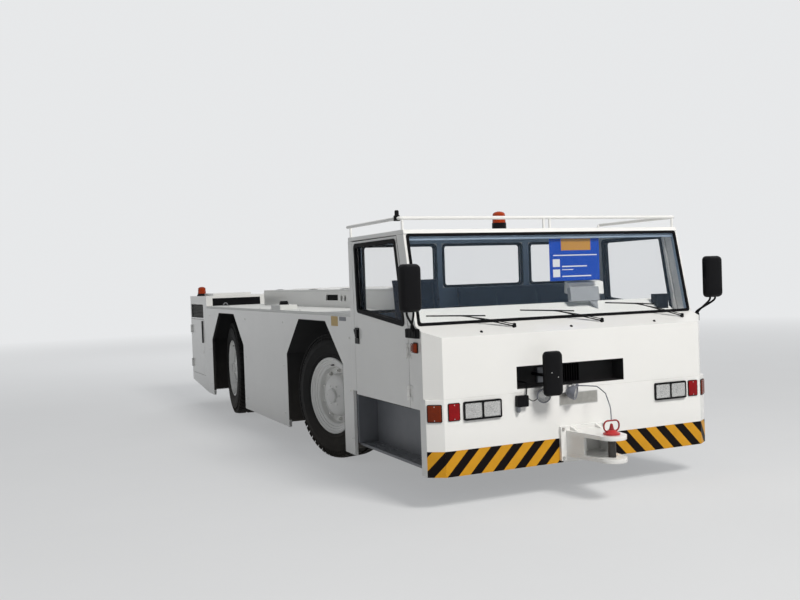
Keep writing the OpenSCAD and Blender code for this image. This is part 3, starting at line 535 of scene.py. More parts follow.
def camera():
    """The photograph's camera, fitted to the tractor's edges."""
    yaw, pitch, roll = (math.radians(a) for a in YAW_PITCH_ROLL)
    ahead = Vector((math.sin(yaw) * math.cos(pitch), math.cos(yaw) * math.cos(pitch), math.sin(pitch)))
    level = Vector((math.cos(yaw), -math.sin(yaw), 0))
    above = level.cross(ahead)
    right = level * math.cos(roll) - above * math.sin(roll)
    top = level * math.sin(roll) + above * math.cos(roll)
    data = bpy.data.cameras.new("photo_camera")
    data.sensor_width = 36
    data.lens = FOCAL_PIXELS / PHOTO_WIDTH * data.sensor_width
    made = bpy.data.objects.new("photo_camera", data)
    bpy.context.scene.collection.objects.link(made)
    turned = Matrix((right, top, -ahead)).transposed().to_4x4()
    made.matrix_world = Matrix.Translation(at(*CAMERA_AT)) @ turned
    bpy.context.scene.camera = made


def lamp(name, place, target, size, power, colour):
    """A soft lamp that lights the object without showing as a bright shape in its glass."""
    data = bpy.data.lights.new(name, "AREA")
    data.shape = "RECTANGLE"
    data.size, data.size_y = size
    data.energy = power
    data.color = colour
    made = bpy.data.objects.new(name, data)
    bpy.context.scene.collection.objects.link(made)
    made.visible_glossy = False
    made.location = place
    made.rotation_euler = (Vector(target) - Vector(place)).to_track_quat("-Z", "Y").to_euler()


BACKDROP = (0.80, 0.81, 0.82)
NEAR_GLOW = 0.42
GLOW_STARTS = 5.0
GLOW_FULL = 24.0
FLOOR_REACH = 60


def seen_directly(tree):
    """1 for rays from the camera, through glass or off a gloss, and 0 for those that carry light."""
    rays = node(tree, "ShaderNodeLightPath").outputs
    seen = rays["Is Camera Ray"]
    for kind in ("Is Transmission Ray", "Is Glossy Ray"):
        seen = node(tree, "ShaderNodeMath", seen, rays[kind], operation="MAXIMUM").outputs["Value"]
    return seen


def floor():
    """Pale floor that keeps the shadow near the object and runs into the backdrop far from it."""
    paint = surface("floor_paint", (0.70, 0.71, 0.72), 0.8, spread=0.02, spread_scale=0.5, grain=0.15,
                    grain_scale=60.0, specular=0.2)
    tree = paint.node_tree
    glow = node(tree, "ShaderNodeEmission", shade(BACKDROP), Strength=1.0)
    place = node(tree, "ShaderNodeNewGeometry").outputs["Position"]
    away = node(tree, "ShaderNodeVectorMath", place, operation="LENGTH").outputs["Value"]
    growing = node(tree, "ShaderNodeMapRange", away, clamp=True, From_Min=GLOW_STARTS, From_Max=GLOW_FULL,
                   To_Min=NEAR_GLOW, To_Max=1.0)
    share = node(tree, "ShaderNodeMath", seen_directly(tree), growing.outputs["Result"], operation="MULTIPLY")
    lit = tree.nodes["Principled BSDF"].outputs["BSDF"]
    mixed = node(tree, "ShaderNodeMixShader", share.outputs["Value"], lit, glow.outputs["Emission"])
    feed(tree, tree.nodes["Material Output"], mixed.outputs["Shader"])
    plate = Piece("floor", paint)
    corners = rect(-FLOOR_REACH, -FLOOR_REACH, FLOOR_REACH, FLOOR_REACH)
    plate.faces([(x, y, 0) for x, y in corners], [(0, 1, 2, 3)])
    made = plate.build()


WORLD_COLOUR = (0.93, 0.96, 1.0, 1.0)
WORLD_LIGHT = 0.19


def studio():
    """Pale floor and backdrop, with a warm soft lamp ahead of the tractor and weak fills round it."""
    floor()
    world = bpy.data.worlds.new("studio_world")
    world.use_nodes = True
    bpy.context.scene.world = world
    tree = world.node_tree
    light = feed(tree, tree.nodes["Background"], Color=WORLD_COLOUR, Strength=WORLD_LIGHT)
    seen = node(tree, "ShaderNodeBackground", Color=shade(BACKDROP), Strength=1.0)
    mixed = node(tree, "ShaderNodeMixShader", seen_directly(tree), light.outputs["Background"],
                 seen.outputs["Background"])
    feed(tree, tree.nodes["World Output"], mixed.outputs["Shader"])
    lamp("key_light", (1.4, -14.0, 12.4), (0, -2.0, 0.8), (5.0, 4.0), 2120, (1.0, 0.975, 0.94))
    lamp("side_fill", (-12.0, -2.0, 6.0), (-1.0, 0, 0.8), (7.0, 5.0), 20, (1.0, 0.97, 0.93))
    lamp("back_fill", (3.0, 13.0, 7.0), (0, 2.0, 1.0), (8.0, 4.0), 480, (1.0, 1.0, 1.0))


def body_finish():
    """Finish of the nodes whose own shape is shown."""
    finishes = (
        (WHITE, 0.004, "front_bumper nose_panel left_side_panel right_side_panel tail_shell cab_pillars"
         " roof_panel front_hood_lid rear_hood_lid left_door right_door left_tail_door right_tail_door"
         " hood_frame front_hitch rear_hitch"),
        (DECK_PAINT, 0.004, "deck"),
        (DARK, 0.004, "frame front_axle rear_axle cab_floor"),
        (GREY, 0.003, "step_wells engine_block"),
        (STEEL, 0.0, "prop_shaft front_tie_rod rear_tie_rod front_left_knuckle front_right_knuckle"
         " rear_left_knuckle rear_right_knuckle"),
        (GLASS, 0.0, "left_door_glass right_door_glass"),
        (PLASTIC, 0.0, "tail_grilles steering_wheel"),
        (DASH, 0.012, "dashboard"),
    )
    for material, bevel, names in finishes:
        for name in names.split():
            dress(name, material, bevel)


TAPE = 0.0006
TAPE_FOOT = 0.0001
STRIPE_LOW = 0.243
STRIPE_HIGH = 0.423
STRIPE_PITCH = 0.182
STRIPE_WIDE = 0.093
STRIPE_SHIFT = 0.175
STRIPE_START = 1.228
JAW_X = 0.17
CORNER_X = 1.143
CORNER_SET = 0.075


def clip(points, x0, x1):
    """The part of a convex outline between two verticals."""
    for limit, sign in ((x0, 1), (x1, -1)):
        kept = []
        for a, b in zip(points, points[1:] + points[:1]):
            inside_a = (a[0] - limit) * sign >= 0
            inside_b = (b[0] - limit) * sign >= 0
            if inside_a:
                kept.append(a)
            if inside_a != inside_b:
                t = (limit - a[0]) / (b[0] - a[0])
                kept.append((limit, a[1] + (b[1] - a[1]) * t))
        points = kept
        if len(points) < 3:
            return []
    return points


def nose_corner(side):
    """Slanted face at the end of the nose, and its width."""
    place = facing(at(side * CORNER_X, 0, 0), (side * CORNER_SET, CORNER_X - HALF, 0))
    return place, math.hypot(HALF - CORNER_X, CORNER_SET)


def hazard_tape():
    """Black and yellow tape along the bumper's lower edge, with stripes that lean towards the middle."""
    tape = Piece("hazard_tape", TAPE_BLACK)
    for side in (-1, 1):
        turned, wide = nose_corner(side)
        fields = ((NOSE, JAW_X, CORNER_X, 0), (turned, CORNER_X, CORNER_X + wide, CORNER_X))
        for place, low, high, start in fields:
            u0, u1 = span(side, low - start, high - start)
            tape.use(TAPE_BLACK).prism(rect(u0, STRIPE_LOW, u1, STRIPE_HIGH), TAPE_FOOT, TAPE, place)
            tape.use(TAPE_YELLOW)
            for k in range(-1, 8):
                foot = STRIPE_START - k * STRIPE_PITCH
                shape = [(foot, STRIPE_LOW), (foot - STRIPE_SHIFT, STRIPE_HIGH),
                         (foot - STRIPE_SHIFT - STRIPE_WIDE, STRIPE_HIGH), (foot - STRIPE_WIDE, STRIPE_LOW)]
                shape = clip(shape, low, high)
                if shape:
                    tape.prism([(side * (d - start), h) for d, h in shape], TAPE, 2 * TAPE, place)
    tape.done("chassis", "white_paint")


def wheel(end, side_name):
    """Tyre and disc wheel of one corner, on a place whose Z points outwards along the axle."""
    name = f"{end}_{side_name}"
    joint = next(j for j in frame["joints"] if j["name"] == f"{name}_spin")
    out = Vector(joint["axis"]).normalized() * (1 if side_name == "left" else -1)
    place = facing(Vector(joint["pos_m"]), out)
    tyre(name, place, f"{name}_wheel")
    rim(name, place, f"{name}_wheel")


TYRE_R = 0.58
TREAD_DEEP = 0.016
RIM_R = 0.345
SIDE_WALL = ((RIM_R, 0.112), (0.352, 0.128), (0.366, 0.138), (0.380, 0.141), (0.384, 0.1445),
             (0.390, 0.1445), (0.394, 0.141), (0.430, 0.1475), (0.462, 0.149), (0.466, 0.15), (0.472, 0.15),
             (0.476, 0.148), (0.505, 0.145), (0.530, 0.139), (0.549, 0.128))
TREAD_ROWS = ((0.101, 0.134, 0.0), (0.018, 0.094, 0.5), (-0.094, -0.018, 0.0), (-0.134, -0.101, 0.5))
PITCHES = 56


def tyre(name, place, body):
    """Radial tyre: ringed side walls, shoulder ribs and four rows of tread blocks."""
    base = TYRE_R - TREAD_DEEP
    half = [*SIDE_WALL, (base - 0.003, 0.112), (base, 0.100)]
    across = half + [(base + 0.001, 0.0)] + [(r, -h) for r, h in reversed(half)] + [half[0]]
    made = Piece(f"{name}_tyre_body", TYRE).lathe(across, place, 96)
    for low, high, shift in TREAD_ROWS:
        for i in range(PITCHES):
            tread_block(made, place, low, high, 2 * math.pi * (i + shift) / PITCHES, 2 * math.pi / PITCHES)
    for i in range(PITCHES * 2):
        turn = place @ Matrix.Rotation(math.pi * i / PITCHES, 4, "Z")
        for out in (-1, 1):
            made.prism(rect(0.512, -0.0022, 0.536, 0.0022), *span(out, 0.1400, 0.1465), turn)
    made.done(body, "tyre", replaces=[f"{name}_tyre"])


SHOULDER_FROM = 0.088
SHOULDER_DROP = 0.6
SHOULDER_CURVE = 1.35
BLOCK_SUNK = 0.008
BLOCK_SKEW = 0.22


def tread_block(made, place, low, high, angle, pitch):
    """One block of the tread, skewed a little and following the shoulder."""
    def top(h):
        return TYRE_R - SHOULDER_DROP * max(0.0, abs(h) - SHOULDER_FROM) ** SHOULDER_CURVE
    foot = TYRE_R - TREAD_DEEP - BLOCK_SUNK
    lean = pitch * BLOCK_SKEW
    rings = []
    for h in (low, (low + high) / 2, high):
        share = (h - low) / (high - low) - 0.5
        ring = []
        for r, wide in ((foot, 0.42), (top(h), 0.38), (top(h), -0.38), (foot, -0.42)):
            a = angle + pitch * wide + lean * share * 2
            ring.append(place @ Vector((r * math.cos(a), r * math.sin(a), h)))
        rings.append(ring)
    made.loft(rings)


NUTS = 10
NUT_CIRCLE = 0.2265
HUB_BOLTS = 6
HUB_CIRCLE = 0.092
RIM_PROFILE = ((0, -0.02), (0.25, -0.02), (0.3, -0.03), (0.3, -0.118), (0.33, -0.124), (0.35, -0.134),
               (0.354, -0.126), (0.3455, -0.11), (0.3455, 0.11), (0.354, 0.126), (0.353, 0.135),
               (0.3445, 0.14), (0.334, 0.137), (0.327, 0.126), (0.312, 0.121), (0.308, 0.113),
               (0.291, 0.109), (0.287, 0.101), (0.272, 0.098), (0.264, 0.09), (0.258, 0.046),
               (0.248, 0.038), (0.205, 0.038), (0.196, 0.044), (0.188, 0.088), (0.18, 0.097),
               (0.15, 0.106), (0.11, 0.113), (0.074, 0.117), (0.066, 0.121), (0.062, 0.14),
               (0.055, 0.146), (0, 0.148))


def rim(name, place, body):
    """Steel disc wheel: rolled flange, stepped outer ring, deep nut circle and a domed hub."""
    made = Piece(f"{name}_disc_wheel", WHITE)
    made.lathe(RIM_PROFILE, place, 96)
    made.use(ZINC)
    for i in range(NUTS):
        spot = on(place @ Matrix.Rotation(2 * math.pi * (i + 0.5) / NUTS, 4, "Z"), NUT_CIRCLE, 0, 0.038)
        made.disc(0.021, 0, 0.004, spot, 18)
        made.prism(circle(0.0165, 6), 0.004, 0.022, spot)
        made.lathe([(0, 0.022), (0.0095, 0.022), (0.0095, 0.036), (0.007, 0.039), (0, 0.039)], spot, 14)
    for i in range(HUB_BOLTS):
        spot = on(place @ Matrix.Rotation(2 * math.pi * i / HUB_BOLTS, 4, "Z"), HUB_CIRCLE, 0, 0.1135)
        made.prism(circle(0.008, 6), 0.0, 0.0075, spot)
    made.use(RUBBER).lathe([(0, 0), (0.007, 0), (0.006, 0.02), (0.0045, 0.022), (0.0045, 0.036), (0, 0.038)],
                           on(place, 0, 0.281, 0.098), 12)
    made.done(body, "white_paint", replaces=[f"{name}_rim"])


SURROUND = (1.222, 0.0, 0.6815)
PANE = (1.2105, 0.012, 0.668)
SCREEN_RUBBER = (-1.231, 0.001, 1.231, 0.683)
REAR_WINDOWS = ((-1.130, -0.460, 1.370), (-0.385, 0.400, 1.560), (0.490, 1.130, 1.560))
REAR_HIGH = 1.915
REAR_SEAMS = (-0.4225, 0.445)
PILLAR = 0.060


def windscreen():
    """Narrow surround with its pane and rubber, which leave the glass as wide as the cab."""
    wide, low, high = SURROUND
    outer = rect(-wide, low, wide, high)
    wide, low, high = PANE
    inner = rect(-wide, low, wide, high)
    made = Piece("windscreen_surround", WHITE)
    made.strip(outer, inner, -0.005, -0.0002, SCREEN)
    # The inner face of the surround takes the blue-grey trim, which is painted shade.
    made.use(TRIM_PAINTED_SHADE).strip(outer, inner, -0.036, -0.005, SCREEN)
    made.prism(rect(-wide, high - 0.030, wide, high), -0.036, -0.0165, SCREEN)
    made.done("chassis", "white_paint", replaces=["windscreen_frame"])
    made = Piece("cab_panes", GLASS)
    made.prism(inner, -0.014, -0.006, SCREEN)
    for x0, x1, low in REAR_WINDOWS:
        made.prism(rect(-x1, low, -x0, REAR_HIGH), -0.019, -0.012, CAB_BACK)
    made.done("chassis", "cab_glazing", replaces=["cab_glass"])
    made = Piece("windscreen_rubber", RUBBER)
    edge = rect(*SCREEN_RUBBER)
    made.strip(rounded(edge, 0.022), rounded(inset(edge, 0.022), 0.014), -0.006, 0.008, SCREEN)
    made.done("chassis", "black_plastic", bevel=0.003)


def rear_wall():
    """Rear wall of the cab with its three windows, their rubber and the door posts."""
    made = Piece("cab_rear_panel", WHITE)
    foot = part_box("cab_rear_wall")[0].z
    seams = (-HALF, *REAR_SEAMS, HALF)
    for (x0, x1, low), first, last in zip(REAR_WINDOWS, seams, seams[1:]):
        made.strip(rect(-last, foot, -first, CEILING), rect(-x1, low, -x0, REAR_HIGH), -WALL, 0.0, CAB_BACK)
    for side in (-1, 1):
        made.block(*span(side, HALF - PILLAR, HALF), DOOR_REAR + 0.005, CAB_REAR - WALL, foot, CEILING)
    made.done("chassis", "white_paint", replaces=["cab_rear_wall"])
    made = Piece("rear_window_rubber", RUBBER)
    for x0, x1, low in REAR_WINDOWS:
        opening = rect(-x1, low, -x0, REAR_HIGH)
        outer = rounded(inset(opening, -0.012), 0.035)
        inner = rounded(inset(opening, 0.010), 0.022)
        for w0, w1 in ((-0.003, 0.008), (-0.038, -0.027)):
            made.strip(outer, inner, w0, w1, CAB_BACK)
    made.done("chassis", "black_plastic", bevel=0.002)


RAIL_X = 1.262
RAIL_FRONT = 0.378
RAIL_REAR = 1.398
RAIL_Z = 2.074
RAIL_BEND = 0.030
RAIL_R = 0.0135
POST_R = 0.010
POSTS = ((-1.238, RAIL_FRONT + 0.004), (1.238, RAIL_FRONT + 0.004), (-0.030, RAIL_FRONT), (0.026, RAIL_FRONT),
         (-1.240, RAIL_REAR - 0.010), (1.240, RAIL_REAR - 0.010))


def roof_rail():
    """Rail round the roof: one bent bar on short posts."""
    made = Piece("roof_rail_bars", WHITE)
    path = [at(-RAIL_X, RAIL_REAR, RAIL_Z)]
    for side, start in ((-1, math.pi), (1, 1.5 * math.pi)):
        middle = at(side * (RAIL_X - RAIL_BEND), RAIL_FRONT + RAIL_BEND, RAIL_Z)
        for k in range(7):
            a = start + math.pi / 12 * k
            path.append(middle + Vector((RAIL_BEND * math.cos(a), RAIL_BEND * math.sin(a), 0)))
    path.append(at(RAIL_X, RAIL_REAR, RAIL_Z))
    made.tube(path, RAIL_R, 14)
    for x, y in POSTS:
        foot = Matrix.Translation(at(x, y, 0))
        made.disc(POST_R, ROOF - 0.001, RAIL_Z, foot, 16)
        made.disc(0.0118, ROOF, ROOF + 0.004, foot, 20)
    made.done("chassis", "white_paint", replaces=["roof_rail"])


HEADLAMP_X = (0.687, 0.993)
HEADLAMP_Z = (0.627, 0.760)
BOWL_X = (0.7645, 0.9155)
BOWL_Z = 0.6935
BOWL_HALF = (0.066, 0.052)


def headlamps():
    """Twin rectangular headlamps on each side, each with a bowl, a bulb and a fluted glass."""
    made = Piece("headlamp_units", PLASTIC)
    for side in (-1, 1):
        x0, x1 = span(side, *HEADLAMP_X)
        edge = rect(x0, HEADLAMP_Z[0], x1, HEADLAMP_Z[1])
        inner = rounded(inset(edge, 0.010), 0.008)
        made.use(PLASTIC).strip(rounded(edge, 0.014), inner, 0.0, 0.016, NOSE)
        made.prism(inner, 0.0002, 0.002, NOSE)
        for x in BOWL_X:
            lamp_bowl(made, side * x, BOWL_Z, *BOWL_HALF)
        x = side * sum(BOWL_X) / 2
        made.use(PLASTIC).prism(rect(x - 0.004, 0.636, x + 0.004, 0.751), 0.002, 0.013, NOSE)
    made.done("chassis", "lamp_lens", replaces=["headlamps"])


RECESS = (-0.548, 0.401, 0.812, 0.975)
RECESS_BACK = 0.1375
WORK_LAMPS = ((-0.367, -20), (-0.110, 40))
WORK_LAMP_AHEAD = 0.062


def recess_lining():
    """Dark lining of the nose's recess, with cooler fins and a round drum at its back."""
    made = Piece("recess_lining", LINER)
    x0, x1, z0, z1 = RECESS
    outer = inset(rect(x0, z0, x1, z1), 0.0005)
    made.strip(outer, inset(outer, 0.003), -RECESS_BACK, -0.0015, NOSE)
    made.prism(outer, -RECESS_BACK, 0.003 - RECESS_BACK, NOSE)
    made.use(PLASTIC)
    for i in range(8):
        x = -0.092 + 0.022 * i
        made.block(x, x + 0.006, 0.106, RECESS_BACK - 0.002, z0 + 0.012, z1 - 0.02)
    drum = ((0, 0), (0.044, 0), (0.044, 0.022), (0.038, 0.028), (0.020, 0.028), (0.018, 0.022), (0, 0.022))
    made.lathe(drum, on(NOSE, -0.168, 0.885, 0.002 - RECESS_BACK))
    made.use(GREY).block(-0.30, -0.24, 0.112, RECESS_BACK - 0.002, z0 + 0.02, z1 - 0.03)
    made.done("chassis", "black_plastic", bevel=0.001)


HOUSING_PROFILE = ((0, -0.054), (0.014, -0.0535), (0.024, -0.048), (0.038, -0.032), (0.047, -0.014),
                   (0.0505, 0.002), (0.052, 0.008), (0.052, 0.021), (0.050, 0.0238), (0.047, 0.0238),
                   (0.045, 0.010), (0.032, -0.020), (0, -0.034))
BOWL_PROFILE = ((0, -0.032), (0.031, -0.018), (0.0445, 0.010), (0.0440, 0.012), (0.030, -0.016), (0, -0.030))
COVER_PROFILE = ((0, 0.0215), (0.030, 0.0205), (0.0465, 0.0185), (0.0465, 0.0160), (0, 0.0190))
LEADS = ((0.005, (-0.486, -0.018, 0.760), (-0.478, -0.016, 0.812), (-0.458, 0.022, 0.850),
          (-0.456, 0.132, 0.850)),
         (0.003, (-0.480, -0.020, 0.750), (-0.436, -0.030, 0.722), (-0.391, -0.040, 0.744)))


def work_lamps():
    """Two round work lamps on strips out of the recess, their plug socket and its leads."""
    made = Piece("work_lamp_units", LAMP_GREY)
    shelf = RECESS[2]
    for x, turn in WORK_LAMPS:
        place = (Matrix.Translation(at(x, -WORK_LAMP_AHEAD, shelf - 0.052))
                 @ Matrix.Rotation(math.radians(turn), 4, "Z") @ Matrix.Rotation(math.radians(100), 4, "X"))
        made.use(LAMP_GREY).lathe(HOUSING_PROFILE, place, 44)
        made.use(CHROME).lathe(BOWL_PROFILE, place, 40)
        made.use(LAMP_GLASS).lathe(COVER_PROFILE, place, 40)
        made.use(STEEL).block(x - 0.012, x + 0.012, -WORK_LAMP_AHEAD - 0.010, 0.06, shelf, shelf + 0.006)
        made.disc(0.009, shelf - 0.014, shelf, Matrix.Translation(at(x, -WORK_LAMP_AHEAD, 0)), 18)
        made.use(ZINC).bolt(at(x, -WORK_LAMP_AHEAD, shelf + 0.006), (0, 0, 1), 0.007)
    made.use(PLASTIC).slab((-0.569, 0.686, -0.474, 0.768), 0.010, 0.0, 0.034, NOSE)
    for k in range(4):
        made.prism(rect(-0.560 + 0.022 * k, 0.692, -0.550 + 0.022 * k, 0.762), 0.034, 0.0357, NOSE)
    made.use(GREY).lathe([(0, 0.648), (0.012, 0.648), (0.015, 0.653), (0.015, 0.690), (0, 0.690)],
                         Matrix.Translation(at(-0.553, -0.018, 0)), 20)
    made.use(RUBBER)
    for radius, *path in LEADS:
        made.tube(smooth_path([at(*point) for point in path]), radius)
    made.done("chassis", "lamp_lens", replaces=["headlamps"])


def lamp_bowl(made, x, z, half_u, half_v):
    """A reflector bowl with its bulb, behind a fluted glass."""
    rings = []
    for share, deep in ((1.0, 0.0105), (0.9, 0.0078), (0.72, 0.0052), (0.45, 0.0032), (0.18, 0.0024)):
        wide, tall = half_u * share, half_v * share
        outline = rounded(rect(x - wide, z - tall, x + wide, z + tall), 0.018 * share + 0.002)
        rings.append([NOSE @ Vector((u, v, deep)) for u, v in outline])
    back = [[p + Vector((0, 0.0012, 0)) for p in ring] for ring in rings]
    made.use(CHROME).loft(rings + back[::-1], closed=True)
    made.prism(circle(half_v * 0.2, 16, (x, z)), 0.002, 0.0035, NOSE)
    made.use(ZINC).lathe([(0, 0.003), (0.008, 0.003), (0.008, 0.009), (0.005, 0.0105), (0, 0.011)],
                         on(NOSE, x, z), 14)
    steps = 14 * 4
    outline = [(x - half_u + 2 * half_u * i / steps, 0.0138 + 0.0009 * math.cos(i * math.pi / 2))
               for i in range(steps + 1)]
    outline += [(x + half_u, 0.0118), (x - half_u, 0.0118)]
    made.use(LAMP_GLASS).loft([[NOSE @ Vector((u, v, w)) for u, w in outline]
                               for v in (z - half_v, z + half_v)])


def lens_block(made, place, ends, v0, v1, deep, material):
    """A rectangular lamp: black base, crowned lens and two screws."""
    outline = rect(ends[0], v0, ends[1], v1)
    made.use(PLASTIC).prism(rounded(outline, 0.010), 0.0, 0.006, place)
    rings = []
    for gap, w in ((0.005, 0.006), (0.005, deep * 0.7), (0.008, deep * 0.88), (0.014, deep * 0.97),
                   (0.022, deep)):
        rings.append([place @ Vector((u, v, w)) for u, v in rounded(inset(outline, gap), 0.008)])
    made.use(material).loft(rings)
    made.use(ZINC)
    for v in (v0 + 0.014, v1 - 0.014):
        made.lathe([(0, deep * 0.9), (0.0035, deep * 0.9), (0.0035, deep + 0.0008), (0, deep + 0.0012)],
                   on(place, (ends[0] + ends[1]) / 2, v), 10)


BEACONS = ((0, 1.10, ROOF, 0.19, 0.092), (-1.13, 7.48, TAIL, 0.13, 0.034))


def marker_lamps():
    """Red and amber lamps of the front, the door posts and the rear face, and the two beacons."""
    reds = Piece("red_lamp_units", RED_LENS)
    for side in (-1, 1):
        lens_block(reds, NOSE, span(side, 1.020, 1.114), 0.632, 0.757, 0.012, RED_LENS)
        lens_block(reds, BACK, span(side, -0.900, -1.100), 0.900, 1.000, 0.020, RED_LENS)
    reds.done("chassis", "red_lens", replaces=["red_lamps"])
    # The corner and side lenses take the darker amber, which has painted shade in it; the beacons keep the
    # lighter amber.
    ambers = Piece("amber_lamp_units_painted_shade", AMBER_PAINTED_SHADE)
    for side in (-1, 1):
        turned, wide = nose_corner(side)
        lens_block(ambers, turned, span(side, 0.014, wide - 0.010), 0.628, 0.752, 0.013, AMBER_PAINTED_SHADE)
        lens_block(ambers, side_face(side), side_span(side, 0.158, 0.232), 1.106, 1.182, 0.034, AMBER_PAINTED_SHADE)
    for x, y, z, tall, base in BEACONS:
        beacon(ambers, at(x, y, z), tall, base)
    ambers.done("chassis", "amber_lens", replaces=["amber_lamps"])


def beacon(made, foot, tall, base):
    """A turning beacon: flange, black base, amber dome with ribs."""
    place = Matrix.Translation(foot)
    made.use(PLASTIC).lathe([(0, 0), (0.070, 0), (0.070, 0.012), (0.062, 0.018), (0.060, base), (0, base)],
                            place, 40)
    dome = [(0.058, base)]
    steps = 7 * 4
    for i in range(steps + 1):
        share = i / steps
        h = base + 0.002 + (tall - 0.028 - base) * share
        dome.append((0.0565 - 0.0045 * share + 0.0012 * math.cos(i * math.pi / 2), h))
    for k in range(1, 6):
        a = math.pi / 2 * k / 6
        dome.append((0.052 * math.cos(a), tall - 0.026 + 0.026 * math.sin(a)))
    made.use(BEACON).lathe(dome + [(0, tall)], place, 40)


def mirror_head(made, place, half_u, half_v, deep):
    """Mirror housing whose back, towards the place's +Z, is domed; its glass faces -Z."""
    rings = []
    for gap, w in ((0.006, 0.0), (0.0, 0.006), (0.0, deep * 0.45), (0.006, deep * 0.75), (0.020, deep * 0.94),
                   (0.045, deep)):
        outline = rounded(rect(-half_u + gap, -half_v + gap, half_u - gap, half_v - gap),
                          max(0.012, 0.034 - gap * 0.4), 5)
        rings.append([place @ Vector((u, v, w)) for u, v in outline])
    made.use(PLASTIC).loft(rings)
    face = rounded(rect(-half_u + 0.010, -half_v + 0.010, half_u - 0.010, half_v - 0.010), 0.026, 5)
    made.use(MIRROR).prism(face, -0.002, 0.001, place)


MIRROR_X = 1.352
MIRROR_Z = 1.569
MIRROR_HALF = (0.080, 0.166)
MIRROR_DEEP = 0.070
BRACKET = (0.125, 0.312)
BRACKET_Z = (1.212, 1.280)


def side_mirrors():
    """Mirrors on short tubes over ribbed bracket blocks at the front of the doors."""
    made = Piece("side_mirror_units", PLASTIC)
    for side in (-1, 1):
        x = side * MIRROR_X
        mirror_head(made, facing(at(x, 0.075, MIRROR_Z), (side * -0.10, -1, 0)), *MIRROR_HALF, MIRROR_DEEP)
        made.use(PLASTIC)
        for dx in (-0.020, 0.028):
            low = at(side * (1.278 + dx * 0.3), 0.165, 1.262)
            high = at(x - side * dx, 0.062, 1.43)
            made.tube(smooth_path([low, low + Vector((side * 0.012, -0.01, 0.035)),
                                   high - Vector((0, 0, 0.05)), high], 5), 0.0085)
        face = side_face(side)
        u0, u1 = side_span(side, *BRACKET)
        low, high = BRACKET_Z
        made.slab((u0, low, u1, high), 0.010, 0.0, 0.024, face)
        for i in range(7):
            u = u0 + 0.020 + i * (u1 - u0 - 0.040) / 6
            made.prism(rect(u - 0.006, low + 0.004, u + 0.006, high - 0.004), 0.024, 0.034, face)
    made.done("chassis", "black_plastic", replaces=["side_mirrors"], bevel=0.0015)


def front_mirror():
    """Mirror ahead of the recess, on an arm out of it."""
    made = Piece("front_mirror_unit", PLASTIC)
    low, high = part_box("front_mirror")
    x, z = (low.x + high.x) / 2, (low.z + high.z) / 2
    deep = 0.0525
    head = facing(Vector((x, low.y + deep + 0.0015, z)), (0, -1, 0))
    mirror_head(made, head, (high.x - low.x) / 2, (high.z - low.z) / 2, deep)
    arm = [at(x, 0.136, 0.900), at(x, 0.03, 0.900), Vector((x, low.y + 0.045, 0.900))]
    made.use(PLASTIC).tube(smooth_path(arm, 4), 0.012, 14)
    made.lathe([(0, 0), (0.024, 0), (0.024, 0.006), (0.016, 0.010), (0, 0.010)],
               facing(Vector((x, low.y + 0.053, 0.900)), (0, 1, 0)), 20)
    for dx, dz in ((-0.030, 0.012), (0.024, -0.022)):
        made.use(ZINC).bolt(Vector((x + dx, low.y + 0.0028, 0.918 + dz)), (0, -1, 0), 0.0045)
    made.done("chassis", "black_plastic", replaces=["front_mirror"])


PLATE_EDGE = (-0.190, 0.663, 0.150, 0.754)
RIVET_IN = 0.012


def blank_plate():
    """Blank metal plate on the bumper, with a bright rim and four rivets."""
    made = Piece("nose_plate", ZINC)
    u0, v0, u1, v1 = PLATE_EDGE
    outline = rect(*PLATE_EDGE)
    made.strip(rounded(outline, 0.006), rounded(inset(outline, 0.005), 0.004), 0.0001, 0.0030, NOSE)
    made.use(PLATE).prism(rounded(inset(outline, 0.0049), 0.004), 0.0001, 0.0020, NOSE)
    made.use(ZINC)
    for u in (u0 + RIVET_IN, u1 - RIVET_IN):
        for v in (v0 + RIVET_IN, v1 - RIVET_IN):
            made.lathe([(0, 0.0020), (0.0036, 0.0020), (0.0030, 0.0034), (0, 0.0038)], on(NOSE, u, v), 12)
    made.done("chassis", "bare_steel")


REAR_RISE = 0.120
PIN_AHEAD = 0.360
PIN_BEHIND = 0.200
JAW_TOP = 0.480
PIN_PROFILE = ((0, 0.275), (0.020, 0.275), (0.028, 0.284), (0.028, 0.4805), (0, 0.4805))
COLLAR_PROFILE = ((0, 0), (0.057, 0), (0.060, 0.003), (0.060, 0.012), (0.052, 0.015), (0.034, 0.024),
                  (0.029, 0.031), (0.026, 0.0335), (0, 0.0335))
KNOB_PROFILE = ((0, 0.030), (0.020, 0.030), (0.013, 0.056), (0.009, 0.075), (0, 0.080))
ROD_PATH = ((-0.031, 0.0, 0.801), (-0.031, -0.020, 0.801), (-0.010, -0.045, 0.801), (0.050, -0.098, 0.797),
            (0.068, -0.122, 0.791), (0.067, -0.205, 0.757), (0.060, -0.228, 0.744), (0.027, -0.314, 0.674),
            (0.014, -0.340, 0.630), (0.0, -PIN_AHEAD, 0.584))


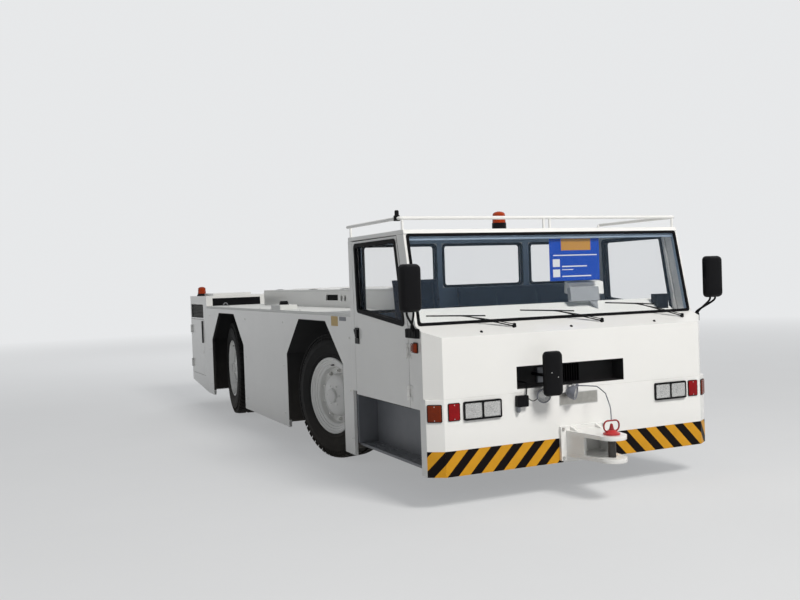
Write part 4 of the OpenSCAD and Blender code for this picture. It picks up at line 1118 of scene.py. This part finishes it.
def towing_pins():
    """Oiled pins with red collars, the rings that lift them and the front pin's release rod."""
    made = Piece("towing_pin_units", PIN_STEEL)
    for foot in (at(0, -PIN_AHEAD, 0), at(0, LENGTH + PIN_BEHIND, REAR_RISE)):
        place = Matrix.Translation(foot)
        made.use(PIN_STEEL).lathe(PIN_PROFILE, place, 40)
        made.use(RED).lathe([(r, JAW_TOP + h) for r, h in COLLAR_PROFILE], place, 44)
        ring = rounded(rect(-0.066, JAW_TOP + 0.024, 0.066, JAW_TOP + 0.100), 0.034, 7)
        made.use(RING_RED).tube([foot + Vector((u, 0, v)) for u, v in ring], 0.006, 12, closed=True)
        made.lathe([(r, JAW_TOP + h) for r, h in KNOB_PROFILE], place, 24)
    made.use(LAMP_GREY).tube(smooth_path([at(*point) for point in ROD_PATH], 5), 0.0042, 12)
    grip = facing(at(-0.031, -0.0005, 0.801), (0, -1, 0))
    made.lathe([(0, 0), (0.014, 0), (0.014, 0.004), (0.008, 0.010), (0, 0.010)], grip, 20)
    made.done("chassis", "red_paint", replaces=["hitch_pins"])


def hitch_bolts():
    """Bolts of both hitch flanges."""
    made = Piece("hitch_bolts", ZINC)
    for x in (-0.180, 0.180):
        for z in (0.278, 0.492):
            made.bolt(at(x, -0.025, z), (0, -1, 0), 0.011)
            made.bolt(at(x, LENGTH + 0.025, z + REAR_RISE), (0, 1, 0), 0.011)
    made.done("chassis", "bare_steel")


WIPERS = ((-0.493, 0.062, 2.4), (0.289, 0.066, 3.3), (1.071, 0.088, 3.7))
WIPER_REACH = 0.422
PIVOT_ALONG = 0.112
BLADE_HALF = 0.240


def wipers():
    """Three wipers: spindle caps on the ledge, twin arms, bridges and rubber blades on the glass."""
    made = Piece("wiper_units", PLASTIC)
    for x, up, lean in WIPERS:
        spot = on(SLOPE, x, PIVOT_ALONG)
        made.use(PLASTIC).lathe([(0, 0.0004), (0.017, 0.0004), (0.016, 0.008), (0.012, 0.012), (0.012, 0.022),
                                 (0.009, 0.0248), (0, 0.025)], spot, 24)
        middle = SCREEN @ Vector((x - WIPER_REACH, up, 0.0145))
        bow = (spot @ Vector((0, 0, 0.020))).lerp(middle, 0.5) + Vector((0, -0.004, 0.005))
        made.tube(smooth_path([spot @ Vector((0, 0, 0.018)), bow, middle]), 0.0055, flat=0.6)
        spot = on(SLOPE, x - 0.014, PIVOT_ALONG - 0.016)
        made.lathe([(0, 0.0004), (0.009, 0.0004), (0.009, 0.014), (0, 0.016)], spot, 16)
        end = SCREEN @ Vector((x - WIPER_REACH + 0.060, up - 0.004, 0.0125))
        made.tube([spot @ Vector((0, 0, 0.012)), end], 0.0042, 8)
        blade = on(SCREEN, x - WIPER_REACH, up) @ Matrix.Rotation(math.radians(-lean), 4, "Z")
        made.use(RUBBER)
        for half, w0, w1 in ((0.0015, -0.0056, 0.0), (0.0045, 0.0, 0.0035)):
            made.prism(rect(-BLADE_HALF, -half, BLADE_HALF, half), w0, w1, blade)
        made.use(PLASTIC)
        for reach in (BLADE_HALF - 0.03, 0.12):
            path = [(-reach, 0.004), (-reach * 0.8, 0.0095), (-reach * 0.3, 0.0125), (reach * 0.3, 0.0125),
                    (reach * 0.8, 0.0095), (reach, 0.004)]
            made.tube(smooth_path([blade @ Vector((u, 0, w)) for u, w in path], 4), 0.003, 8)
    for x in (-0.799, -0.030, 0.748):
        made.lathe([(0, 0), (0.012, 0), (0.010, 0.007), (0.004, 0.011), (0, 0.011)], on(SLOPE, x, 0.054), 16)
    made.done("chassis", "black_plastic", replaces=["wipers"])


DOOR_WINDOW = ((0.385, 1.305), (1.262, 1.392), (1.290, 1.915), (0.505, 1.915))
DOOR_REAR = 1.350
DOOR_FRONT = 0.322
DOOR_LOW = 0.705
HANDLE_SKIN = 0.0006
DOOR_PANEL = ((0.400, 0.790), (1.320, 0.790), (1.320, 1.330), (1.240, 1.345), (0.400, 1.265))
LEVER = ((-0.088, 1.165), (-0.070, 1.165), (-0.030, 1.225), (-0.030, 1.240), (-0.088, 1.240))
DOOR_PULL = ((0.86, 0.003), (0.87, 0.032), (1.02, 0.034), (1.17, 0.032), (1.18, 0.003))


def door_fittings(side, name):
    """Window rubber, edge seal, handle, inner trim and pull of one door."""
    made = Piece(f"{name}_fittings", RUBBER)
    face = side_face(side)
    inner_face = -DOOR_THICK - 0.0002
    opening = side_outline(side, DOOR_WINDOW)
    lip = rounded(inset(opening, -0.018), 0.036)
    hem = rounded(inset(opening, 0.013), 0.022)
    reveal = rounded(inset(opening, 0.0006), 0.030)
    for outer, w0, w1 in ((lip, 0.0002, 0.006), (reveal, -0.0178, 0.0002), (reveal, inner_face, -0.0262),
                          (lip, -DOOR_THICK - 0.006, inner_face)):
        made.strip(outer, hem, w0, w1, face)
    front_top = DOOR_FRONT + (CEILING - 0.003 - LEDGE) * math.tan(SCREEN_LEAN)
    edge = side_outline(side, [(DOOR_FRONT, DOOR_LOW), (DOOR_REAR, DOOR_LOW), (DOOR_REAR, CEILING - 0.008),
                               (front_top, CEILING - 0.008), (DOOR_FRONT, LEDGE - 0.005)])
    made.strip(inset(edge, -0.0038), inset(edge, -0.0001), -0.022, -0.002, face)
    base = side_outline(side, rect(DOOR_REAR - 0.095, 1.122, DOOR_REAR - 0.018, 1.250))
    made.use(PLASTIC).prism(rounded(inset(base, -HANDLE_SKIN), 0.003), 0.0001, 0.008 + HANDLE_SKIN, face)
    lever = side_outline(side, [(DOOR_REAR + y, z) for y, z in LEVER])
    made.prism(rounded(inset(lever, -HANDLE_SKIN), 0.003), 0.008, 0.022 + HANDLE_SKIN, face)
    made.use(ZINC).lathe([(0, 0.008), (0.010, 0.008), (0.010, 0.0115), (0.008, 0.0125), (0, 0.0125)],
                         on(face, side * (FRONT + DOOR_REAR - 0.040), 1.175), 20)
    panel = side_outline(side, DOOR_PANEL)
    # The inner panel and pocket take the blue-grey trim, which is painted shade.
    made.use(TRIM_PAINTED_SHADE).prism(rounded(panel, 0.03), -DOOR_THICK - 0.0035, inner_face, face)
    pocket = side_outline(side, rect(0.50, 0.83, 1.18, 0.99))
    made.prism(rounded(pocket, 0.02), -DOOR_THICK - 0.018, -DOOR_THICK - 0.003, face)
    x = side * (HALF - DOOR_THICK)
    pull = [Vector((x - side * d, FRONT + y, 1.17)) for y, d in DOOR_PULL]
    made.use(PLASTIC).tube(smooth_path(pull, 5), 0.009, 12)
    made.done(name, "black_plastic", bevel=0.0008)


def cab_trim_painted_shade():
    """Trim on the cab's rear wall, roof and door posts, with a floor mat. The trim's blue-grey is painted
    shade, made lighter to stand in for light inside the cab.
    """
    made = Piece("cab_inner_trim_painted_shade", TRIM_PAINTED_SHADE)
    wall = facing(at(0, CAB_REAR - WALL, 0), (0, -1, 0))
    seams = (-1.185, *REAR_SEAMS, 1.185)
    rear = CAB_REAR - WALL - 0.006
    for (x0, x1, low), first, last in zip(REAR_WINDOWS, seams, seams[1:]):
        made.strip(rect(first, FLOOR + 0.01, last, CEILING - 0.008),
                   rect(x0 - 0.014, low - 0.014, x1 + 0.014, REAR_HIGH + 0.014), 0.0003, 0.0045, wall)
    made.block(-1.19, 1.19, 0.392, CAB_REAR - WALL - 0.001, CEILING - 0.007, CEILING - 0.0003)
    for side in (-1, 1):
        made.block(*span(side, HALF - PILLAR - 0.003, HALF - PILLAR - 0.0003), DOOR_REAR + 0.006, rear,
                   FLOOR + 0.01, CEILING - 0.008)
    made.use(MAT).block(-1.19, 1.19, 0.30, rear, FLOOR + 0.0003, FLOOR + 0.006)
    made.done("chassis", "black_plastic", bevel=0.0012)


DRIVER_X = -0.700
DASH_REAR = 0.5173


def dash_fittings():
    """Display with the grey box ahead of it, radio set, round instruments, switches and pedals."""
    made = Piece("dash_fittings", PLASTIC)
    pod = facing(at(0.400, DASH_REAR - 0.0095, 1.525), (0, 1, 0.1))
    made.slab((-0.165, -0.044, 0.165, 0.044), 0.008, 0.0003, 0.003, pod)
    made.use(GLASS_OFF).slab((-0.150, -0.036, 0.100, 0.036), 0.004, 0.003, 0.0038, pod)
    made.use(GREY)
    for k in range(4):
        made.slab((0.112, 0.018 - 0.018 * k, 0.150, 0.030 - 0.018 * k), 0.003, 0.003, 0.006, pod)
    box = facing(at(0.350, 0.392, 1.466), (0, -1, 0.12))
    made.use(READER).slab((-0.137, -0.054, 0.137, 0.058), 0.010, -0.042, 0.0, box)
    made.prism([(0.045, -0.050), (0.120, -0.126), (0.120, -0.050)], -0.032, -0.008, box)
    made.use(PLASTIC).block(1.029, 1.146, 0.346, 0.418, 1.316, 1.440)
    radio = facing(at(1.0875, 0.418, 1.400), (0, 1, 0))
    made.use(GLASS_OFF).slab((-0.045, -0.012, 0.045, 0.028), 0.003, 0.0002, 0.0015, radio)
    instruments(made)
    switches(made)
    pedals(made)
    made.done("chassis", "black_plastic", bevel=0.0008)


def dash_face(x):
    """Place on the sloping rear face of the dashboard."""
    return facing(at(x, DASH_REAR + 0.0080, 1.330), (0, 1, -0.135))


def instruments(made):
    """Four round instruments with ticks and needles, on a panel ahead of the driver."""
    panel = dash_face(DRIVER_X)
    made.use(PLASTIC).slab((-0.27, -0.045, 0.27, 0.048), 0.012, 0.0004, 0.006, panel)
    for u in (-0.185, -0.065, 0.065, 0.185):
        dial = on(panel, u, 0.003, 0.006)
        made.use(CHROME).lathe([(0.036, 0), (0.041, 0), (0.041, 0.005), (0.036, 0.005), (0.036, 0)], dial)
        made.use(GLASS_OFF).prism(circle(0.036, 32), 0.0002, 0.0012, dial)
        made.use(PAPER)
        for k in range(9):
            tick = dial @ Matrix.Rotation(math.radians(-120 + 30 * k), 4, "Z")
            made.prism(rect(-0.0008, 0.026, 0.0008, 0.033), 0.0012, 0.0016, tick)
        needle = dial @ Matrix.Rotation(math.radians(70 - 300 * abs(u)), 4, "Z")
        made.use(ORANGE).prism([(-0.0014, -0.004), (0.0014, -0.004), (0.0005, 0.028), (-0.0005, 0.028)],
                               0.0018, 0.0026, needle)


def switches(made):
    """A row of eight rocker switches in the middle of the dashboard."""
    row = dash_face(-0.08)
    made.use(PLASTIC).slab((-0.20, -0.030, 0.20, 0.030), 0.008, 0.0004, 0.004, row)
    made.use(GREY)
    for k in range(8):
        u = -0.175 + 0.05 * k
        made.loft([[row @ Vector((u + a * g, b * g, w)) for a, b in rect(-0.018, -0.022, 0.018, 0.022)]
                   for g, w in ((1.0, 0.004), (1.0, 0.008), (0.8, 0.012))])


def pedals(made):
    """Two ribbed pedals on their stems."""
    for x, wide, high in ((-0.60, 0.045, 0.20), (-0.80, 0.055, 0.16)):
        top = at(x, 0.420, FLOOR + high)
        plate = facing(top, (0, 0.80, 0.60), (0, -0.60, 0.80))
        made.use(RUBBER).slab((-wide, -0.06, wide, 0.06), 0.010, 0.0, 0.012, plate)
        for k in range(5):
            v = -0.048 + 0.022 * k
            made.prism(rect(0.008 - wide, v, wide - 0.008, v + 0.008), 0.012, 0.015, plate)
        made.use(STEEL).tube([top, at(x, 0.36, FLOOR + 0.05), at(x, 0.36, FLOOR)], 0.009)


CARD = (0.016, 1.577, 0.473, 0.350)
PRINT = 0.0004
CARD_PATCH = (0.110, 0.238, 0.390, 0.330)
CARD_BARS = ((0.030, 0.030, 0.095, 0.090), (0.030, 0.110, 0.095, 0.170), (0.035, 0.196, 0.450, 0.204),
             (0.115, 0.108, 0.350, 0.117), (0.115, 0.084, 0.220, 0.090), (0.115, 0.030, 0.390, 0.039))


def placard():
    """Blue card that hangs inside the windscreen, with an orange patch and plain white bars."""
    made = Piece("windscreen_card", BLUE)
    x, z, wide, high = CARD
    place = facing(at(x, 0.380, z), (0, -1, 0))
    made.prism(rect(0, 0, wide, high), -0.0015, 0.0, place)
    made.use(ORANGE).prism(rect(*CARD_PATCH), 0.0, PRINT, place)
    made.use(PAPER)
    for bar in CARD_BARS:
        made.prism(rect(*bar), 0.0, PRINT, place)
    for u in (0.060, 0.413):
        made.prism(rect(u - 0.006, high - 0.004, u + 0.006, CEILING - z - 0.006), -0.0012, 0.0003, place)
    made.done("chassis", "dash_panel")


# Middle of each arch, and how much further back its lining reaches for the steered wheel.
ARCHES = ((2.435, 0.0), (5.650, 0.180))
SIDE_INNER = 1.2185
LINING_INNER = 0.476
LINING_THICK = 0.004
ARCH_EDGE = ((-0.780, 0.262), (0.780, 0.262), (0.780, 0.930), (0.372, 1.286), (-0.372, 1.286),
             (-0.780, 0.930))


def wheelhouse_linings():
    """Black lining over each wheel, and a rubber lip in the arch of the side panel."""
    made = Piece("wheelhouse_linings", LINER)
    foot, top, low, knee, crown, thick = 0.784, 0.376, 0.26, 0.930, 1.290, LINING_THICK
    arch = list(ARCH_EDGE)
    lip = inset(arch, thick)
    for y, behind in ARCHES:
        profile = [(-foot, low), (-foot, knee), (-top, crown), (top + behind, crown), (foot + behind, knee),
                   (foot + behind, low)]
        skin = [(-foot - thick, low), (-foot - thick, knee + 0.002), (-top - 0.002, crown + thick),
                (top + behind + 0.002, crown + thick), (foot + behind + thick, knee + 0.002),
                (foot + behind + thick, low)]
        for side in (-1, 1):
            for k in range(len(profile) - 1):
                quad = [profile[k], profile[k + 1], skin[k + 1], skin[k]]
                made.loft([[Vector((x, FRONT + y + d, h)) for d, h in quad]
                           for x in span(side, LINING_INNER, SIDE_INNER)])
            for k in range(1, len(arch)):
                after = (k + 1) % len(arch)
                quad = [arch[k], arch[after], lip[after], lip[k]]
                made.loft([[Vector((x, FRONT + y + d, h)) for d, h in quad]
                           for x in span(side, SIDE_INNER, HALF - 0.0005)])
    made.done("chassis", "dark_paint")


def side_labels():
    """Two blank labels on the right side panel, behind the cab."""
    made = Piece("side_label", LABEL)
    face = side_face(-1)
    for material, front, rear, low, high in ((LABEL, 1.735, 1.90, 1.250, 1.334),
                                             (GREY, 1.540, 1.700, 1.298, 1.332)):
        u0, u1 = side_span(-1, front, rear)
        made.use(material).prism(rect(u0, low, u1, high), 0.0002, 0.0008, face)
    made.done("chassis", "white_paint")


SIDE_BOLTS = ((1.48, (0.32, 0.72, 1.16)), (3.32, (0.32, 0.80, 1.24)), (4.76, (0.32, 0.80, 1.24)),
              (6.52, (0.34, 0.80, 1.24)))


def panel_bolts():
    """Bolts of the side panels and of the deck."""
    made = Piece("panel_bolts", ZINC)
    for side in (-1, 1):
        for y, heights in SIDE_BOLTS:
            for z in heights:
                made.bolt(Vector((side * HALF, FRONT + y, z)), (side, 0, 0), 0.008)
    for x in (-1.20, -0.72, 0.72, 1.20):
        for y in (1.50, 2.9, 4.3, 5.7, 6.62):
            made.bolt(at(x, y, DECK), (0, 0, 1), 0.007)
    made.done("chassis", "bare_steel")


HOOD_INNER = 0.628
GRILLE = (3.29, 3.67)
GRILLE_Z = (1.428, 1.506)
VENTS = (3.10, 3.20)
VENT_R = 0.040


def hood_vents():
    """Mesh grille and two round vents in each side of the hood's frame."""
    made = Piece("hood_vents", LINER)
    for side in (-1, 1):
        face = facing(Vector((side * HOOD_INNER, 0, 0)), (side, 0, 0))
        u0, u1 = side_span(side, *GRILLE)
        made.use(LINER).prism(rect(u0, GRILLE_Z[0], u1, GRILLE_Z[1]), -0.004, 0.0, face)
        made.use(PLASTIC)
        for k in range(23):
            u = u0 + 0.016 + 0.0158 * k
            made.prism(rect(u - 0.0015, 1.436, u + 0.0015, 1.498), 0.0, 0.006, face)
        for k in range(4):
            v = 1.4495 + 0.0125 * k
            made.prism(rect(u0 + 0.008, v, u1 - 0.008, v + 0.002), 0.0, 0.006, face)
        for y in VENTS:
            spot = on(face, side * (FRONT + y), 1.462)
            made.use(LINER).prism(circle(VENT_R, 28), -0.004, 0.0, spot)
            made.use(PLASTIC)
            for k in range(-2, 3):
                made.prism(rect(-0.034, 0.012 * k - 0.002, 0.034, 0.012 * k + 0.002), 0.0, 0.005, spot)
    made.done("chassis", "black_plastic")


CAP_AT = (-1.152, 3.56, 1.413)
CAP_PROFILE = ((0, 0), (0.052, 0), (0.052, 0.004), (0.046, 0.006), (0.046, 0.022), (0.042, 0.026), (0, 0.027))
RINGS = ((-1.05, 1.75), (1.05, 1.75), (-1.05, 6.45), (1.05, 6.45))
RING_R = 0.026


def deck_fittings():
    """Filler cap with its grip, and four lashing rings on the deck."""
    made = Piece("deck_fittings", PLASTIC)
    cap = Matrix.Translation(at(*CAP_AT))
    made.lathe(CAP_PROFILE, cap, 36)
    made.prism(rect(-0.040, -0.006, 0.040, 0.006), 0.026, 0.038, cap)
    made.use(STEEL)
    for x, y in RINGS:
        spot = at(x, y, DECK)
        made.slab((-0.05, -0.03, 0.05, 0.03), 0.008, 0.0, 0.008, Matrix.Translation(spot))
        ring = [spot + Vector((RING_R * math.cos(a), 0, 0.012 + RING_R * math.sin(a)))
                for a in (math.pi * k / 10 for k in range(11))]
        made.tube(ring, 0.006)
    made.done("chassis", "bare_steel")


def rail_clamp():
    """Small black clamp on the right front corner of the roof rail."""
    made = Piece("rail_clamp", PLASTIC)
    made.lathe([(0, -0.018), (0.024, -0.018), (0.024, 0.018), (0.016, 0.026), (0.016, 0.052), (0.011, 0.060),
                (0, 0.060)], Matrix.Translation(at(-RAIL_X, RAIL_FRONT + 0.040, RAIL_Z)), 24)
    made.done("chassis", "black_plastic")


def tail_fittings(side, name):
    """Pull bar and round lock of one tail door."""
    made = Piece(f"{name}_fittings", PLASTIC)
    face = side_face(side)
    bar = side_outline(side, rect(6.950, 0.860, 6.985, 1.160))
    made.prism(rounded(inset(bar, -0.0006), 0.004), 0.0001, 0.0146, face)
    spot = on(face, side * (FRONT + 6.98), 0.736)
    made.use(ZINC).lathe([(0, 0), (0.017, 0), (0.017, 0.004), (0.013, 0.0065), (0, 0.0065)], spot, 24)
    made.use(PLASTIC).prism(rect(-0.0015, -0.007, 0.0015, 0.007), 0.0065, 0.0072, spot)
    made.done(name, "black_plastic", bevel=0.0008)


def step_ends():
    """Plate that closes the rear end of each step well."""
    made = Piece("step_well_ends", GREY)
    for side in (-1, 1):
        made.block(*span(side, 1.051, SIDE_INNER), 1.405, 1.434, 0.291, 0.699)
    made.done("chassis", "grey_paint")


LID_TOP = 1.554


def lid_latches(name):
    """Paddle latches near the free edge of a hood lid."""
    made = Piece(f"{name}_latches", PLASTIC)
    low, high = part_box(name)
    for share in (0.22, 0.78):
        spot = Matrix.Translation(Vector((-0.585, low.y + (high.y - low.y) * share, LID_TOP)))
        made.use(PLASTIC).slab((-0.040, -0.055, 0.040, 0.055), 0.012, 0.0, 0.003, spot)
        made.use(STEEL).slab((-0.026, -0.038, 0.026, 0.038), 0.008, 0.003, 0.0065, spot)
        made.use(ZINC).lathe([(0, 0.0065), (0.008, 0.0065), (0.007, 0.009), (0, 0.009)], spot, 16)
    made.done(name, "black_plastic", bevel=0.0008)


AXLE_HEIGHT = 0.580
DRIVE_FACE = 0.163
DRIVE_CIRCLE = 0.165
DRIVE_BOLTS = 12


def axle_fittings():
    """Bolts round the drive in the middle of each axle."""
    made = Piece("axle_bolts", ZINC)
    for name in ("front_axle", "rear_axle"):
        low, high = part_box(name)
        for out in (-1, 1):
            middle = Vector((out * DRIVE_FACE, (low.y + high.y) / 2, AXLE_HEIGHT))
            for u, v in circle(DRIVE_CIRCLE, DRIVE_BOLTS):
                made.bolt(middle + Vector((0, u, v)), (out, 0, 0), 0.009)
    made.done("chassis", "bare_steel")


# Name, cloth, middle, half width, height of the back, voxel of the cloth and share of the two seams.
SEATS = (("driver", CLOTH, -0.700, 0.235, 0.610, 0.009, 0.62),
         ("bench", BENCH_CLOTH, 0.270, 0.600, 0.530, 0.014, 0.34))
SEAT_FRONT = 0.840
SEAT_BACK = 1.195
SEAT_LOW = 0.930
SEAT_PAD = 0.110
BACK_THICK = 0.100
BACK_LEAN = 0.070
PAD_GAP = 0.012
PAD_SPARE = 0.006
CHANNEL_WIDE = 0.009
CHANNEL_DEEP = 0.010


def upholstery(name, cloth, corners, crown, voxel, channels):
    """A padded block blown up by a cloth simulation, then sewn across by channels."""
    made = Piece(name, cloth).loft(corners)
    bmesh.ops.recalc_face_normals(made.mesh, faces=made.mesh.faces)
    pad = made.build()
    low = Vector(min(p[k] for ring in corners for p in ring) for k in range(3))
    high = Vector(max(p[k] for ring in corners for p in ring) for k in range(3))
    blow_up(pad, voxel, crown)
    for vertex in pad.data.vertices:
        place = vertex.co
        for axis, value, side_axis, sign in channels:
            near = math.exp(-((place[axis] - value) / CHANNEL_WIDE) ** 2)
            middle = (low[side_axis] + high[side_axis]) / 2
            if (place[side_axis] - middle) * sign > 0:
                place[side_axis] -= sign * CHANNEL_DEEP * near
        for k in range(3):
            place[k] = max(low[k] - PAD_SPARE, min(high[k] + PAD_SPARE, place[k]))
    smooth = pad.modifiers.new("smooth", "SUBSURF")
    smooth.levels = smooth.render_levels = 1
    for face in pad.data.polygons:
        face.use_smooth = True
    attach(pad, "chassis")
    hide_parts("seats")


BLOW_FRAMES = 20
PRESSURE = 4.0


def blow_up(pad, voxel, most):
    """Cloth under pressure over some frames. No point moves further than the most."""
    scene = bpy.context.scene
    remesh = pad.modifiers.new("remesh", "REMESH")
    remesh.mode = "VOXEL"
    remesh.voxel_size = voxel
    apply_all(pad)
    start = [vertex.co.copy() for vertex in pad.data.vertices]
    cloth = pad.modifiers.new("cloth", "CLOTH")
    cloth.settings.use_pressure = True
    cloth.settings.uniform_pressure_force = PRESSURE
    cloth.settings.effector_weights.gravity = 0.0
    cloth.point_cache.frame_start = 1
    cloth.point_cache.frame_end = BLOW_FRAMES
    scene.frame_start = 1
    for step in range(1, BLOW_FRAMES + 1):
        scene.frame_set(step)
    apply_all(pad)
    for vertex, before in zip(pad.data.vertices, start):
        move = vertex.co - before
        if move.length > most:
            vertex.co = before + move * (most / move.length)
    scene.frame_set(1)


def apply_all(pad):
    """Turns an object's modifiers into its mesh."""
    graph = bpy.context.evaluated_depsgraph_get()
    result = bpy.data.meshes.new_from_object(pad.evaluated_get(graph))
    pad.modifiers.clear()
    pad.data = result


def seats():
    """Driver's seat and bench: blown-up cushions and backs on their bases."""
    frames = Piece("seat_frames", GREY)
    top = SEAT_LOW + SEAT_PAD
    gap = PAD_GAP
    front = FRONT + SEAT_FRONT
    back_front = FRONT + SEAT_BACK
    for name, cloth, x, half, tall, voxel, seam in SEATS:
        x0, x1 = x - half, x + half
        frames.use(GREY).block(x0 + 0.060, x1 - 0.060, SEAT_FRONT + 0.060, SEAT_BACK, FLOOR, SEAT_LOW)
        frames.use(PLASTIC).block(x0 + 0.02, x1 - 0.02, SEAT_FRONT + 0.02, SEAT_BACK + 0.09, SEAT_LOW - 0.012,
                                  SEAT_LOW + 0.004)
        seams = (x + half * -seam, x + half * seam)
        outline = rounded(rect(x0 + gap, front + gap, x1 - gap, back_front + BACK_THICK - gap), 0.05)
        rings = [[Vector((u, v, z)) for u, v in outline] for z in (SEAT_LOW + 0.006, top - gap)]
        lines = [(1, front + 0.15, 2, 1), (1, front + 0.30, 2, 1)] + [(0, u, 2, 1) for u in seams]
        upholstery(f"{name}_cushion", cloth, rings, 0.016, voxel, lines)
        rings = []
        for share in (0.0, 1.0):
            z = top + 0.004 + (tall - gap - 0.004) * share
            low = back_front + BACK_LEAN * share + gap + 0.02 * share
            high = back_front + BACK_THICK + BACK_LEAN * share - gap
            outline = rounded(rect(x0 + gap, low, x1 - gap, high), 0.030, 3)
            rings.append([Vector((u, v, z)) for u, v in outline])
        lines = [(2, top + tall * share, 1, -1) for share in (0.22, 0.44, 0.66)]
        upholstery(f"{name}_back", cloth, rings, 0.014, voxel, lines + [(0, u, 1, -1) for u in seams])
    frames.done("chassis", "grey_paint", replaces=["seats"], bevel=0.004)


camera()
studio()
body_finish()
hazard_tape()
for wheel_end in ("front", "rear"):
    for wheel_side in ("left", "right"):
        wheel(wheel_end, wheel_side)
for make in (windscreen, rear_wall, roof_rail, headlamps, recess_lining, work_lamps, marker_lamps,
             side_mirrors, front_mirror, blank_plate, towing_pins, hitch_bolts, wipers):
    make()
for door_side, door_name in ((1, "left_door"), (-1, "right_door")):
    door_fittings(door_side, door_name)
for make in (cab_trim_painted_shade, dash_fittings, placard, wheelhouse_linings, side_labels, panel_bolts, hood_vents,
             deck_fittings, rail_clamp, step_ends):
    make()
for door_side, door_name in ((1, "left_tail_door"), (-1, "right_tail_door")):
    tail_fittings(door_side, door_name)
for lid_name in ("front_hood_lid", "rear_hood_lid"):
    lid_latches(lid_name)
axle_fittings()
seats()

bpy.context.scene.view_settings.view_transform = "Standard"
